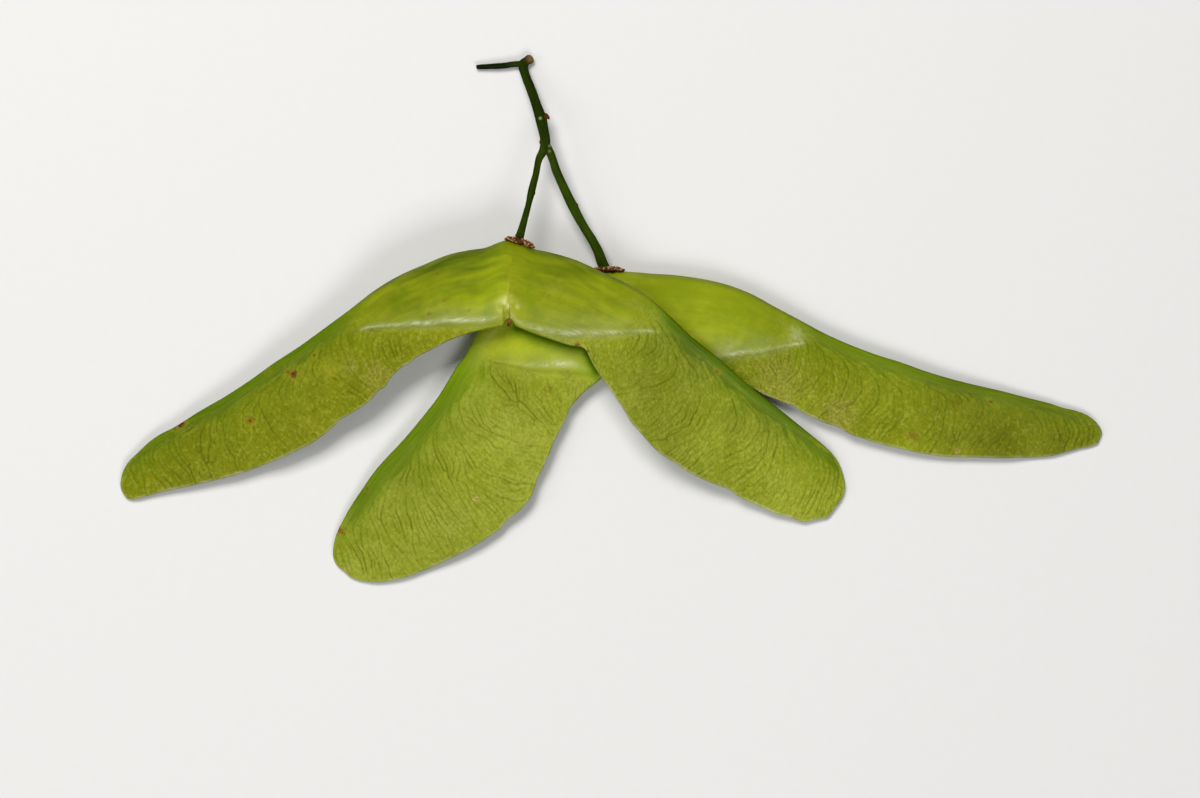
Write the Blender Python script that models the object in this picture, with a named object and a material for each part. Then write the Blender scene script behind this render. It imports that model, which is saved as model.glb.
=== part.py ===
"""Norway maple fruit cluster: two double samaras on one forked stalk, lying flat.

Frame: +X along the longest extent, +Z up from the surface it lies on, origin at
the centre of the bottom of the bounding box. Plan positions and heights below
are in millimetres and are scaled to metres when the meshes are made.

Each double samara is two samaras that meet at a seam. A samara is a thick
nutlet beside the seam and a thin wing beyond it. Its plan outline is a smooth
curve through the hand-set points below: from the top of the seam along the
stiff leading edge, round the tip, and back along the thin trailing edge to the
notch at the foot of the seam. The front pair lies across the back pair.
"""

import math

import bmesh
import bpy
import numpy as np
from mathutils import Matrix

MM = 0.001

# ---- driving dimensions (mm) -------------------------------------------------
NUTLET_HALF = 1.50  # half the thickness of a nutlet at its thickest point
NUTLET_AT_SEAM = 0.84  # thickness beside the seam, as a share of the thickest
NUTLET_ENDS_AT = 0.44  # share of the samara's length where the nutlet has died out
WING_HALF = 0.17  # half the thickness of the wing membrane near the nutlet
WING_HALF_TIP = 0.13  # the same at the tip
EDGE_RIB_HALF = 0.30  # how far the leading edge's rib stands proud on each side
RIM_HALF = 0.07  # half the height of the outline's edge
SEAM_GAP = 0.10  # gap between the two samaras of a pair
COLLAR_GAP = 0.10  # gap between a calyx collar and the nutlets' shoulders
FRONT_Z = 4.78  # mid-height of the front pair at its seam
BACK_Z = 1.50  # mid-height of the back pair at its seam

# stations along and across each samara
LENGTH_STEPS = 38
ACROSS = (0.0, 0.02, 0.06, 0.13, 0.23, 0.36, 0.50, 0.64, 0.77, 0.88, 0.96, 1.0)

# ---- plan outlines (mm) ------------------------------------------------------
# seam: top, middle, foot.  lead: along the leading edge.  tip: round the end.
# trail: along the trailing edge, from the tip back to the foot of the seam.
# ridge: where the nutlet drops to the wing.  height: (share of length, z at the
# leading edge, z at the trailing edge) of the mid-surface.
FRONT_SEAM = [(-9.05, 7.17), (-9.62, 3.56), (-9.65, -0.10)]
BACK_SEAM = [(-0.59, 4.51), (0.31, 0.43), (1.16, -3.37)]

FRONT_LEFT = dict(
    seam=FRONT_SEAM,
    lead=[(-9.81, 7.36), (-10.76, 7.08), (-11.90, 6.64), (-13.42, 6.41), (-15.32, 6.00),
          (-17.69, 5.05), (-20.07, 4.00), (-22.44, 2.58), (-24.82, 0.75), (-27.19, -0.98),
          (-29.57, -2.69), (-31.94, -4.23), (-34.32, -5.93), (-36.69, -7.46), (-39.07, -8.82),
          (-41.44, -10.31), (-42.68, -10.93), (-43.82, -11.69), (-44.96, -12.75)],
    tip=[(-45.81, -13.59), (-46.34, -14.49), (-46.60, -15.63), (-46.57, -16.15),
         (-46.34, -16.65), (-46.05, -17.02)],
    trail=[(-45.58, -17.19), (-44.96, -17.13), (-43.82, -16.79), (-42.68, -16.49),
           (-40.30, -15.99), (-37.93, -15.44), (-35.55, -14.83), (-33.18, -13.98),
           (-30.80, -13.06), (-29.57, -12.45), (-28.43, -11.87), (-27.19, -11.02),
           (-26.05, -10.02), (-25.58, -9.58), (-24.06, -8.69), (-22.73, -7.72),
           (-21.97, -6.84), (-21.40, -6.51), (-20.92, -5.75), (-20.35, -5.14),
           (-19.78, -4.65), (-19.12, -4.32), (-18.36, -3.68), (-17.50, -3.24),
           (-16.55, -2.75), (-15.32, -2.14), (-14.18, -1.69), (-12.94, -1.31),
           (-11.80, -1.07), (-10.76, -0.86), (-10.24, -0.71), (-10.07, -0.41),
           (-9.86, -0.17)],
    ridge=[(-9.70, -0.20), (-12.94, -0.48), (-16.27, -0.43), (-20.07, -0.57),
           (-22.92, -0.71), (-25.29, -1.00), (-27.48, -1.38)],
    height=[(0.0, 4.78, 4.78), (0.15, 4.55, 4.55), (0.40, 3.35, 3.30), (0.70, 1.75, 1.55),
            (1.0, 0.45, 0.25)],
)

FRONT_RIGHT = dict(
    seam=FRONT_SEAM,
    lead=[(-8.29, 7.03), (-7.43, 6.57), (-5.82, 6.20), (-4.68, 5.90), (-3.44, 5.51),
          (-2.30, 5.02), (-1.07, 4.44), (1.31, 3.32), (2.45, 2.68), (3.68, 1.85),
          (4.82, 0.85), (6.06, -0.31), (7.20, -1.42), (8.43, -2.44), (9.57, -3.33),
          (10.81, -4.36), (13.18, -6.47), (15.56, -8.31), (17.93, -10.21), (20.31, -12.16)],
    tip=[(20.97, -12.83), (21.54, -13.63), (21.92, -14.58), (22.16, -15.53), (22.21, -16.10),
         (22.02, -16.83), (21.64, -17.47), (20.97, -18.29)],
    trail=[(20.50, -18.88), (19.64, -19.08), (18.98, -19.20), (18.31, -19.33), (17.65, -19.16),
           (16.70, -18.83), (15.56, -18.53), (14.80, -18.19), (13.18, -17.43), (12.23, -17.01),
           (11.57, -16.53), (11.00, -16.19), (9.57, -15.65), (8.43, -15.15), (7.20, -14.52),
           (6.06, -13.75), (4.82, -12.96), (3.68, -11.92), (2.92, -11.04), (1.88, -9.88),
           (1.31, -8.90), (0.59, -7.77), (-0.12, -6.75), (-0.88, -5.65), (-1.35, -4.99),
           (-1.78, -4.28), (-2.21, -3.40), (-2.59, -2.86), (-3.21, -2.69), (-3.82, -2.59),
           (-4.68, -2.36), (-5.82, -1.98), (-7.05, -1.57), (-8.19, -1.12), (-9.05, -0.73),
           (-9.24, -0.43), (-9.43, -0.19)],
    ridge=[(-9.55, -0.20), (-8.19, -0.76), (-4.87, -1.38), (-1.07, -1.34), (2.73, -0.95),
           (5.39, -0.90), (7.96, -2.14)],
    height=[(0.0, 4.78, 4.78), (0.28, 4.78, 4.60), (0.45, 4.35, 3.90), (0.62, 3.20, 2.50),
            (0.80, 1.75, 1.20), (1.0, 0.45, 0.25)],
)

BACK_LEFT = dict(
    seam=BACK_SEAM,
    lead=[(-1.10, 4.52), (-2.02, 4.23), (-4.39, 3.61), (-6.77, 2.80), (-9.14, 1.71),
          (-11.04, 0.52), (-12.18, -0.52), (-12.94, -1.57), (-13.89, -3.51), (-14.65, -4.56),
          (-15.32, -5.68), (-15.98, -6.75), (-16.55, -7.63), (-17.69, -9.10), (-18.88, -10.55),
          (-20.07, -11.91), (-21.26, -13.15), (-22.44, -14.50), (-23.63, -16.19),
          (-24.82, -18.00), (-25.48, -19.19), (-26.01, -20.28)],
    tip=[(-26.34, -21.37), (-26.43, -22.28), (-26.34, -22.90), (-26.05, -23.46),
         (-25.58, -23.87), (-24.82, -24.51)],
    trail=[(-24.15, -24.82), (-23.20, -25.00), (-22.25, -25.07), (-21.30, -24.97),
           (-20.07, -24.73), (-18.88, -24.37), (-18.17, -24.08), (-16.51, -23.40),
           (-15.32, -22.82), (-14.13, -22.24), (-12.94, -21.58), (-11.76, -20.82),
           (-10.57, -20.00), (-9.90, -19.19), (-8.95, -18.46), (-8.19, -17.72), (-7.53, -16.82),
           (-7.31, -16.20), (-7.01, -15.28), (-6.29, -13.82), (-5.82, -12.73), (-5.34, -11.54),
           (-4.68, -10.28), (-4.30, -9.55), (-3.92, -8.55), (-3.35, -7.84), (-2.78, -7.19),
           (-2.02, -6.56), (-0.97, -5.78), (-0.12, -4.99), (0.55, -4.28), (0.78, -3.75),
           (0.95, -3.47)],
    ridge=[(1.10, -3.50), (-1.07, -5.32), (-3.44, -4.89), (-7.72, -4.51), (-11.04, -3.75),
           (-13.42, -3.30), (-14.65, -4.60)],
    height=[(0.0, 1.50, 1.50), (0.36, 1.50, 1.50), (0.60, 1.45, 1.15), (0.80, 0.95, 0.62),
            (1.0, 0.32, 0.20)],
)

BACK_RIGHT = dict(
    seam=BACK_SEAM,
    lead=[(0.26, 4.49), (1.02, 4.46), (2.45, 4.36), (3.68, 4.25), (6.06, 4.09), (8.43, 3.77),
          (10.81, 3.24), (13.18, 2.36), (15.56, 1.07), (17.93, -0.19), (20.31, -1.47),
          (22.68, -2.52), (25.06, -3.42), (27.43, -4.16), (29.81, -5.01), (32.18, -5.72),
          (34.56, -6.32), (36.93, -6.86), (39.31, -7.48), (41.68, -8.08), (42.82, -8.46),
          (44.06, -8.75)],
    tip=[(45.20, -9.19), (45.96, -9.77), (46.43, -10.40), (46.59, -10.88), (46.43, -11.35),
         (46.15, -11.88)],
    trail=[(45.20, -12.26), (44.53, -12.35), (42.82, -12.80), (41.68, -13.08), (40.45, -13.20),
           (39.31, -13.23), (36.93, -13.28), (34.56, -13.20), (32.18, -13.17), (29.81, -12.89),
           (27.43, -12.38), (25.06, -11.81), (23.82, -11.39), (22.68, -10.99), (21.45, -10.31),
           (20.31, -9.93), (19.07, -9.38), (17.93, -8.79), (17.27, -8.27), (16.70, -8.10),
           (15.56, -7.67), (14.32, -7.19), (13.37, -6.63), (11.76, -6.06), (9.86, -5.54),
           (7.48, -5.04), (5.11, -4.70), (3.21, -4.42), (2.11, -4.11), (1.64, -3.75),
           (1.38, -3.47)],
    ridge=[(1.25, -3.50), (4.63, -3.80), (7.48, -3.95), (10.33, -3.70), (13.37, -3.18),
           (16.51, -2.47), (17.93, -2.09), (20.31, -1.90)],
    height=[(0.0, 1.50, 1.50), (0.36, 1.50, 1.50), (0.60, 1.35, 1.10), (0.80, 0.85, 0.60),
            (1.0, 0.32, 0.20)],
)

# ---- stalk (x, y, z, radius in mm) -------------------------------------------
PEDUNCLE_AND_LEFT_PEDICEL = [
    (-7.98, 24.50, 0.48, 0.40), (-8.36, 24.12, 0.56, 0.44), (-8.14, 23.08, 0.88, 0.41),
    (-7.57, 21.62, 1.34, 0.45), (-7.08, 20.17, 1.78, 0.46), (-6.72, 19.14, 2.08, 0.53),
    (-6.51, 18.14, 2.38, 0.50), (-6.29, 17.12, 2.68, 0.46), (-6.26, 16.39, 2.90, 0.47),
    (-6.44, 15.82, 3.05, 0.40), (-6.82, 15.08, 3.24, 0.33), (-7.12, 13.63, 3.60, 0.32),
    (-7.53, 12.02, 3.98, 0.35), (-7.81, 10.78, 4.24, 0.30), (-8.19, 9.36, 4.52, 0.32),
    (-8.56, 8.14, 4.72, 0.38),
]
RIGHT_PEDICEL = [
    (-6.28, 16.50, 2.86, 0.40), (-5.91, 15.91, 2.84, 0.41), (-5.55, 15.08, 2.74, 0.39),
    (-5.25, 14.11, 2.60, 0.40), (-4.68, 12.78, 2.38, 0.41), (-3.63, 10.59, 2.06, 0.47),
    (-2.73, 8.88, 1.86, 0.42), (-1.83, 7.46, 1.72, 0.43), (-1.24, 6.30, 1.62, 0.46),
    (-0.92, 5.42, 1.56, 0.50),
]
SIDE_BRANCH = [
    (-12.80, 23.87, 0.32, 0.20), (-11.71, 23.91, 0.38, 0.25), (-10.26, 24.00, 0.45, 0.27),
    (-9.17, 24.15, 0.52, 0.27), (-8.40, 24.18, 0.56, 0.28),
]
CUT_END = (-7.79, 24.60, 0.48, 0.47)  # the pale stub where the stalk broke from its twig
STALK_SIDES = 10

COLLAR_HALF_WIDTH = 0.21  # in plan, across the calyx collar
COLLAR_HALF_HEIGHT = 1.05  # in z
STUB_RADIUS = 0.19
STUB_LENGTH = 0.62


# ---- geometry ----------------------------------------------------------------
def smooth_curve(points, per_span=24):
    """Centripetal Catmull-Rom through the points; also the index of each point."""
    p = np.array(points, float)
    q = np.vstack([2 * p[0] - p[1], p, 2 * p[-1] - p[-2]])
    t = np.concatenate([[0.0], np.cumsum(np.sqrt(np.linalg.norm(np.diff(q, axis=0), axis=1)))])
    out = []
    for i in range(1, len(q) - 2):
        t0, t1, t2, t3 = t[i - 1 : i + 3]
        p0, p1, p2, p3 = q[i - 1 : i + 3]
        s = np.linspace(t1, t2, per_span, endpoint=False)[:, None]
        a1 = (t1 - s) / (t1 - t0) * p0 + (s - t0) / (t1 - t0) * p1
        a2 = (t2 - s) / (t2 - t1) * p1 + (s - t1) / (t2 - t1) * p2
        a3 = (t3 - s) / (t3 - t2) * p2 + (s - t2) / (t3 - t2) * p3
        b1 = (t2 - s) / (t2 - t0) * a1 + (s - t0) / (t2 - t0) * a2
        b2 = (t3 - s) / (t3 - t1) * a2 + (s - t1) / (t3 - t1) * a3
        out.append((t2 - s) / (t2 - t1) * b1 + (s - t1) / (t2 - t1) * b2)
    out.append(p[-1][None])
    return np.vstack(out), [i * per_span for i in range(len(p))]


def even(curve, shares):
    """Points of the curve at shares of its length."""
    steps = np.linalg.norm(np.diff(curve, axis=0), axis=1)
    along = np.concatenate([[0.0], np.cumsum(steps)])
    along /= along[-1]
    return np.stack([np.interp(shares, along, curve[:, k]) for k in range(curve.shape[1])], 1)


def ease(t):
    t = np.clip(t, 0.0, 1.0)
    return t * t * (3 - 2 * t)


def smooth_table(table, at):
    """Values of a table of stations, with a smooth curve through them."""
    curve, _ = smooth_curve([(row[0], row[1]) for row in table], 12)
    order = np.maximum.accumulate(curve[:, 0])
    return np.interp(at, order, curve[:, 1])


class Samara:
    """The plan and thickness of one samara as functions of u (seam to tip) and v
    (leading edge to trailing edge)."""

    def __init__(self, spec, side):
        lead, tip, trail = spec["lead"], spec["tip"], spec["trail"]
        seam = spec["seam"]
        outline = [seam[0]] + lead + tip + trail + [seam[2]]
        curve, at = smooth_curve(outline)
        a = at[len(lead) + 1]
        b = at[len(lead) + len(tip)]
        self.lead = curve[: a + 1]
        self.tip = curve[a : b + 1]
        self.trail = curve[b:][::-1]
        self.seam = smooth_curve(seam)[0]
        self.side = side
        self.height = spec["height"]
        self.ridge = smooth_curve(spec["ridge"])[0]
        down = self.seam[-1] - self.seam[0]
        down /= np.linalg.norm(down)
        self.inward = side * np.array([-down[1], down[0]])

    def plan(self, u, v):
        """Coons patch between the four edges: arrays of u and v give (n, 2) points."""
        left, right = even(self.lead, u), even(self.trail, u)
        start, end = even(self.seam, v), even(self.tip, v)
        u, v = u[:, None], v[:, None]
        corners = (
            (1 - u) * ((1 - v) * self.lead[0] + v * self.trail[0])
            + u * ((1 - v) * self.lead[-1] + v * self.trail[-1])
        )
        flat = (1 - v) * left + v * right + (1 - u) * start + u * end - corners
        return flat + self.inward * (SEAM_GAP / 2) * (1 - u) ** 8

    def ridge_at(self, us):
        """v of the nutlet's ridge on each line of constant u."""
        vs = np.linspace(0, 1, 161)
        found = []
        for u in us:
            line = self.plan(np.full(len(vs), u), vs)
            gap = np.linalg.norm(line[:, None] - self.ridge[None], axis=2).min(axis=1)
            found.append(vs[gap.argmin()])
        found = np.maximum(np.array(found), 0.10)
        return np.convolve(np.pad(found, 2, mode="edge"), np.ones(5) / 5, mode="valid")

    def mid(self, u, v):
        first = smooth_table([(r[0], r[1]) for r in self.height], u)
        last = smooth_table([(r[0], r[2]) for r in self.height], u)
        return first * (1 - v) + last * v

    def half(self, u, v, ridge):
        """Half the thickness: membrane, plus the nutlet, plus the leading rib."""
        wing = WING_HALF + (WING_HALF_TIP - WING_HALF) * u
        w = np.clip(v / ridge, 0.0, 1.0)
        dome = np.clip(1 - np.abs(1 - 2 * w) ** 2.6, 0.0, 1.0) ** 0.6
        along = np.interp(u, [0.0, 0.10, 0.20, 0.30], [NUTLET_AT_SEAM, 1.0, 0.96, 0.70])
        along = np.where(u > 0.30, 0.70 * (1 - ease((u - 0.30) / (NUTLET_ENDS_AT - 0.30))), along)
        nutlet = (NUTLET_HALF - WING_HALF) * along * dome
        rib = EDGE_RIB_HALF * (1 - 0.65 * u) * ease(v / 0.03 + 0.25) * (1 - ease((v - 0.05) / 0.18))
        rib = rib * ease((u - 0.05) / 0.25)
        thick = wing + nutlet + rib
        # the outline's own edge: thin at the wing's margins, full at the seam
        margin = np.minimum(ease(v / 0.035), ease((1 - v) / 0.05)) * ease((1 - u) / 0.025)
        return RIM_HALF + (thick - RIM_HALF) * (0.15 + 0.85 * margin)


def material(name, colour, roughness):
    mat = bpy.data.materials.new(name)
    mat.use_nodes = True
    shader = mat.node_tree.nodes["Principled BSDF"]
    shader.inputs["Base Color"].default_value = (*colour, 1.0)
    shader.inputs["Roughness"].default_value = roughness
    shader.inputs["Metallic"].default_value = 0.0
    mat.diffuse_color = (*colour, 1.0)
    return mat


def add_object(name, bm, origin, mat, parent):
    """A named object with its origin at `origin` (mm), from a bmesh in mm."""
    bmesh.ops.translate(bm, verts=bm.verts, vec=[-c for c in origin])
    bmesh.ops.scale(bm, verts=bm.verts, vec=(MM, MM, MM))
    bmesh.ops.recalc_face_normals(bm, faces=bm.faces)
    mesh = bpy.data.meshes.new(name)
    bm.to_mesh(mesh)
    bm.free()
    mesh.shade_smooth()
    mesh.set_sharp_from_angle(angle=math.radians(50))
    mesh.materials.append(mat)
    obj = bpy.data.objects.new(name, mesh)
    bpy.context.scene.collection.objects.link(obj)
    obj.parent = parent
    obj.location = [c * MM for c in origin]
    return obj


def make_samara(name, spec, side, mat, parent):
    shape = Samara(spec, side)
    us = np.linspace(0, 1, LENGTH_STEPS + 1) ** 1.08
    vs = np.array(ACROSS)
    ridge = shape.ridge_at(us)
    bm = bmesh.new()
    upper, lower = [], []
    for i, u in enumerate(us):
        uu = np.full(len(vs), u)
        xy = shape.plan(uu, vs)
        mid = shape.mid(uu, vs)
        half = shape.half(uu, vs, ridge[i])
        upper.append([bm.verts.new((*xy[j], mid[j] + half[j])) for j in range(len(vs))])
        lower.append([bm.verts.new((*xy[j], max(mid[j] - half[j], 0.0))) for j in range(len(vs))])
    nu, nv = len(us), len(vs)
    for i in range(nu - 1):
        for j in range(nv - 1):
            a, b = upper, lower
            bm.faces.new((a[i][j], a[i + 1][j], a[i + 1][j + 1], a[i][j + 1]))
            bm.faces.new((b[i][j], b[i][j + 1], b[i + 1][j + 1], b[i + 1][j]))
    for i in range(nu - 1):
        for j in (0, nv - 1):
            bm.faces.new((upper[i][j], lower[i][j], lower[i + 1][j], upper[i + 1][j]))
    for j in range(nv - 1):
        for i in (0, nu - 1):
            bm.faces.new((upper[i][j], upper[i][j + 1], lower[i][j + 1], lower[i][j]))
    origin = (*spec["seam"][0], spec["height"][0][1])
    return add_object(name, bm, origin, mat, parent)


def tube_mesh(points, sides, step):
    """A closed tube of varying radius along a smooth curve, as a bmesh in mm."""
    curve, _ = smooth_curve(points, 12)
    length = np.linalg.norm(np.diff(curve[:, :3], axis=0), axis=1).sum()
    count = max(4, int(round(length / step)))
    rings = even(curve, np.linspace(0, 1, count + 1))
    centre, radius = rings[:, :3], rings[:, 3]
    along = np.gradient(centre, axis=0)
    along /= np.linalg.norm(along, axis=1)[:, None]
    up = np.array([0.0, 0.0, 1.0])
    bm = bmesh.new()
    loops = []
    for c, r, d in zip(centre, radius, along):
        across = np.cross(up, d)
        across /= np.linalg.norm(across)
        other = np.cross(d, across)
        angles = np.arange(sides) * 2 * math.pi / sides
        loops.append(
            [bm.verts.new(c + r * (math.cos(a) * across + math.sin(a) * other)) for a in angles]
        )
    for one, two in zip(loops, loops[1:]):
        for k in range(sides):
            n = (k + 1) % sides
            bm.faces.new((one[k], one[n], two[n], two[k]))
    bm.faces.new(loops[0][::-1])
    bm.faces.new(loops[-1])
    return bm


def make_stalk(mat, parent):
    origin = PEDUNCLE_AND_LEFT_PEDICEL[7][:3]
    stalk = add_object(
        "stalk", tube_mesh(PEDUNCLE_AND_LEFT_PEDICEL, STALK_SIDES, 0.62), origin, mat, parent
    )
    knob = bmesh.new()
    bmesh.ops.create_uvsphere(knob, u_segments=12, v_segments=8, radius=CUT_END[3])
    bmesh.ops.rotate(knob, verts=knob.verts, cent=(0, 0, 0),
                     matrix=Matrix.Rotation(math.radians(35), 3, "Z"))
    bmesh.ops.translate(knob, verts=knob.verts, vec=CUT_END[:3])
    helpers = [
        ("right_pedicel_form", tube_mesh(RIGHT_PEDICEL, STALK_SIDES, 0.62)),
        ("side_branch_form", tube_mesh(SIDE_BRANCH, 8, 0.55)),
        ("cut_end_form", knob),
    ]
    for name, bm in helpers:
        form = add_object(name, bm, origin, mat, parent)
        form.hide_render = True
        form.display_type = "WIRE"
        union = stalk.modifiers.new(name, "BOOLEAN")
        union.operation = "UNION"
        union.object = form
        union.solver = "EXACT"
    return stalk


def make_collar(name, left, right, seam_z, share, mat, parent):
    """The dried calyx: an oval-section band along the nutlets' shoulders."""
    a, b = Samara(left, -1), Samara(right, 1)
    path = np.vstack([even(a.lead, np.linspace(share[0], 0, 6))[:-1],
                      even(b.lead, np.linspace(0, share[1], 7))])
    path = smooth_curve(even(path, np.linspace(0, 1, 7)), 8)[0]
    path = even(path, np.linspace(0, 1, 13))
    along = np.gradient(path, axis=0)
    along /= np.linalg.norm(along, axis=1)[:, None]
    out = np.stack([-along[:, 1], along[:, 0]], 1)
    if out[:, 1].mean() < 0:
        out = -out
    path = path + out * (COLLAR_GAP + COLLAR_HALF_WIDTH + 0.06)
    bm = bmesh.new()
    loops = []
    sides = 12
    for k, (c, o) in enumerate(zip(path, out)):
        t = k / (len(path) - 1)
        size = (0.35 + 0.65 * math.sin(math.pi * t) ** 0.5) if 0 < t < 1 else 0.35
        loop = []
        for s in range(sides):
            ang = 2 * math.pi * s / sides
            xy = c + o * math.cos(ang) * COLLAR_HALF_WIDTH * size
            loop.append(bm.verts.new((*xy, seam_z + math.sin(ang) * COLLAR_HALF_HEIGHT * size)))
        loops.append(loop)
    for one, two in zip(loops, loops[1:]):
        for s in range(sides):
            n = (s + 1) % sides
            bm.faces.new((one[s], one[n], two[n], two[s]))
    bm.faces.new(loops[0][::-1])
    bm.faces.new(loops[-1])
    middle = path[len(path) // 2]
    return add_object(name, bm, (*middle, seam_z), mat, parent)


def make_stub(name, seam, seam_z, mat, parent):
    """What is left of the style: a short tapered peg in the notch."""
    foot, top = np.array(seam[2]), np.array(seam[0])
    down = (foot - top) / np.linalg.norm(foot - top)
    bm = bmesh.new()
    bmesh.ops.create_cone(bm, cap_ends=True, segments=12, radius1=STUB_RADIUS * 0.75,
                          radius2=STUB_RADIUS, depth=STUB_LENGTH)
    bmesh.ops.bevel(bm, geom=list(bm.edges), offset=0.04, segments=1, affect="EDGES",
                    clamp_overlap=True)
    # the peg's axis goes from +Z to the seam's own direction in the plane
    turn = Matrix.Rotation(math.atan2(down[1], down[0]), 3, "Z")
    tip_over = Matrix.Rotation(math.radians(90), 3, "Y")
    bmesh.ops.rotate(bm, verts=bm.verts, cent=(0, 0, 0), matrix=turn @ tip_over)
    centre = foot + down * (STUB_LENGTH / 2 + 0.12)
    bmesh.ops.translate(bm, verts=bm.verts, vec=(*centre, seam_z))
    return add_object(name, bm, (*centre, seam_z), mat, parent)


def main():
    for obj in list(bpy.data.objects):
        bpy.data.objects.remove(obj, do_unlink=True)
    cluster = bpy.data.objects.new("cluster", None)
    cluster.empty_display_size = 0.01
    bpy.context.scene.collection.objects.link(cluster)

    front = material("samara_front", (0.42, 0.50, 0.06), 0.45)
    back = material("samara_back", (0.38, 0.46, 0.07), 0.48)
    stem = material("stalk_green", (0.16, 0.27, 0.05), 0.50)
    crust = material("dry_calyx", (0.24, 0.10, 0.05), 0.80)
    dry = material("dry_style", (0.40, 0.22, 0.06), 0.70)

    make_samara("samara_front_left", FRONT_LEFT, -1, front, cluster)
    make_samara("samara_front_right", FRONT_RIGHT, 1, front, cluster)
    make_samara("samara_back_left", BACK_LEFT, -1, back, cluster)
    make_samara("samara_back_right", BACK_RIGHT, 1, back, cluster)
    make_stalk(stem, cluster)
    make_collar("calyx_front", FRONT_LEFT, FRONT_RIGHT, FRONT_Z, (0.022, 0.044), crust, cluster)
    make_collar("calyx_back", BACK_LEFT, BACK_RIGHT, BACK_Z, (0.030, 0.036), crust, cluster)
    make_stub("style_front", FRONT_SEAM, FRONT_Z, dry, cluster)
    make_stub("style_back", BACK_SEAM, BACK_Z, dry, cluster)


main()
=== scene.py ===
"""Norway maple fruit cluster: the looks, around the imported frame."""

import math

import bmesh
import bpy
import numpy as np
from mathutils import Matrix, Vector


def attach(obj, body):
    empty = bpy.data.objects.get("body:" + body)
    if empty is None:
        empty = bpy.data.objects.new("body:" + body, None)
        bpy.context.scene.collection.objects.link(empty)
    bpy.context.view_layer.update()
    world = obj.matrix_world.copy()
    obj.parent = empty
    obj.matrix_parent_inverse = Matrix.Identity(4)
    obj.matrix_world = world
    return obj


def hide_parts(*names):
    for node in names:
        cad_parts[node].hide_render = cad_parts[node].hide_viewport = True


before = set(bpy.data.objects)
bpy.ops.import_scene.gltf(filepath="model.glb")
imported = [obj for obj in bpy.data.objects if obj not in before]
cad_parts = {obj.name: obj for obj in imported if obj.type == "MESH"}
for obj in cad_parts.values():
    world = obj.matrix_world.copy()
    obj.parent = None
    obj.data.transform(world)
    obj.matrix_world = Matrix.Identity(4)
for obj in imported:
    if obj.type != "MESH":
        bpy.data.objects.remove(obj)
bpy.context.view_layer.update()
MM = 0.001

# ============================================================================
# plan of the four samaras, in mm: the same outlines as the CAD solids
# ============================================================================
FRONT_SEAM = [(-9.05, 7.17), (-9.62, 3.56), (-9.65, -0.10)]
BACK_SEAM = [(-0.59, 4.51), (0.31, 0.43), (1.16, -3.37)]

FRONT_LEFT = dict(
    seam=FRONT_SEAM,
    lead=[(-9.81, 7.36), (-10.76, 7.08), (-11.90, 6.64), (-13.42, 6.41), (-15.32, 6.00),
          (-17.69, 5.05), (-20.07, 4.00), (-22.44, 2.58), (-24.82, 0.75), (-27.19, -0.98),
          (-29.57, -2.69), (-31.94, -4.23), (-34.32, -5.93), (-36.69, -7.46), (-39.07, -8.82),
          (-41.44, -10.31), (-42.68, -10.93), (-43.82, -11.69), (-44.96, -12.75)],
    tip=[(-45.81, -13.59), (-46.34, -14.49), (-46.60, -15.63), (-46.57, -16.15),
         (-46.34, -16.65), (-46.05, -17.02)],
    trail=[(-45.58, -17.19), (-44.96, -17.13), (-43.82, -16.79), (-42.68, -16.49),
           (-40.30, -15.99), (-37.93, -15.44), (-35.55, -14.83), (-33.18, -13.98),
           (-30.80, -13.06), (-29.57, -12.45), (-28.43, -11.87), (-27.19, -11.02),
           (-26.05, -10.02), (-25.58, -9.58), (-24.06, -8.69), (-22.73, -7.72),
           (-21.97, -6.84), (-21.40, -6.51), (-20.92, -5.75), (-20.35, -5.14),
           (-19.78, -4.65), (-19.12, -4.32), (-18.36, -3.68), (-17.50, -3.24),
           (-16.55, -2.75), (-15.32, -2.14), (-14.18, -1.69), (-12.94, -1.31),
           (-11.80, -1.07), (-10.76, -0.86), (-10.24, -0.71), (-10.07, -0.41),
           (-9.86, -0.17)],
    ridge=[(-9.70, -0.20), (-12.94, -0.48), (-16.27, -0.43), (-20.07, -0.57),
           (-22.92, -0.71), (-25.29, -1.00), (-27.48, -1.38)],
    height=[(0.0, 4.78, 4.78), (0.15, 4.55, 4.55), (0.40, 3.35, 3.30), (0.70, 1.75, 1.55),
            (1.0, 0.45, 0.25)],
)

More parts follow.
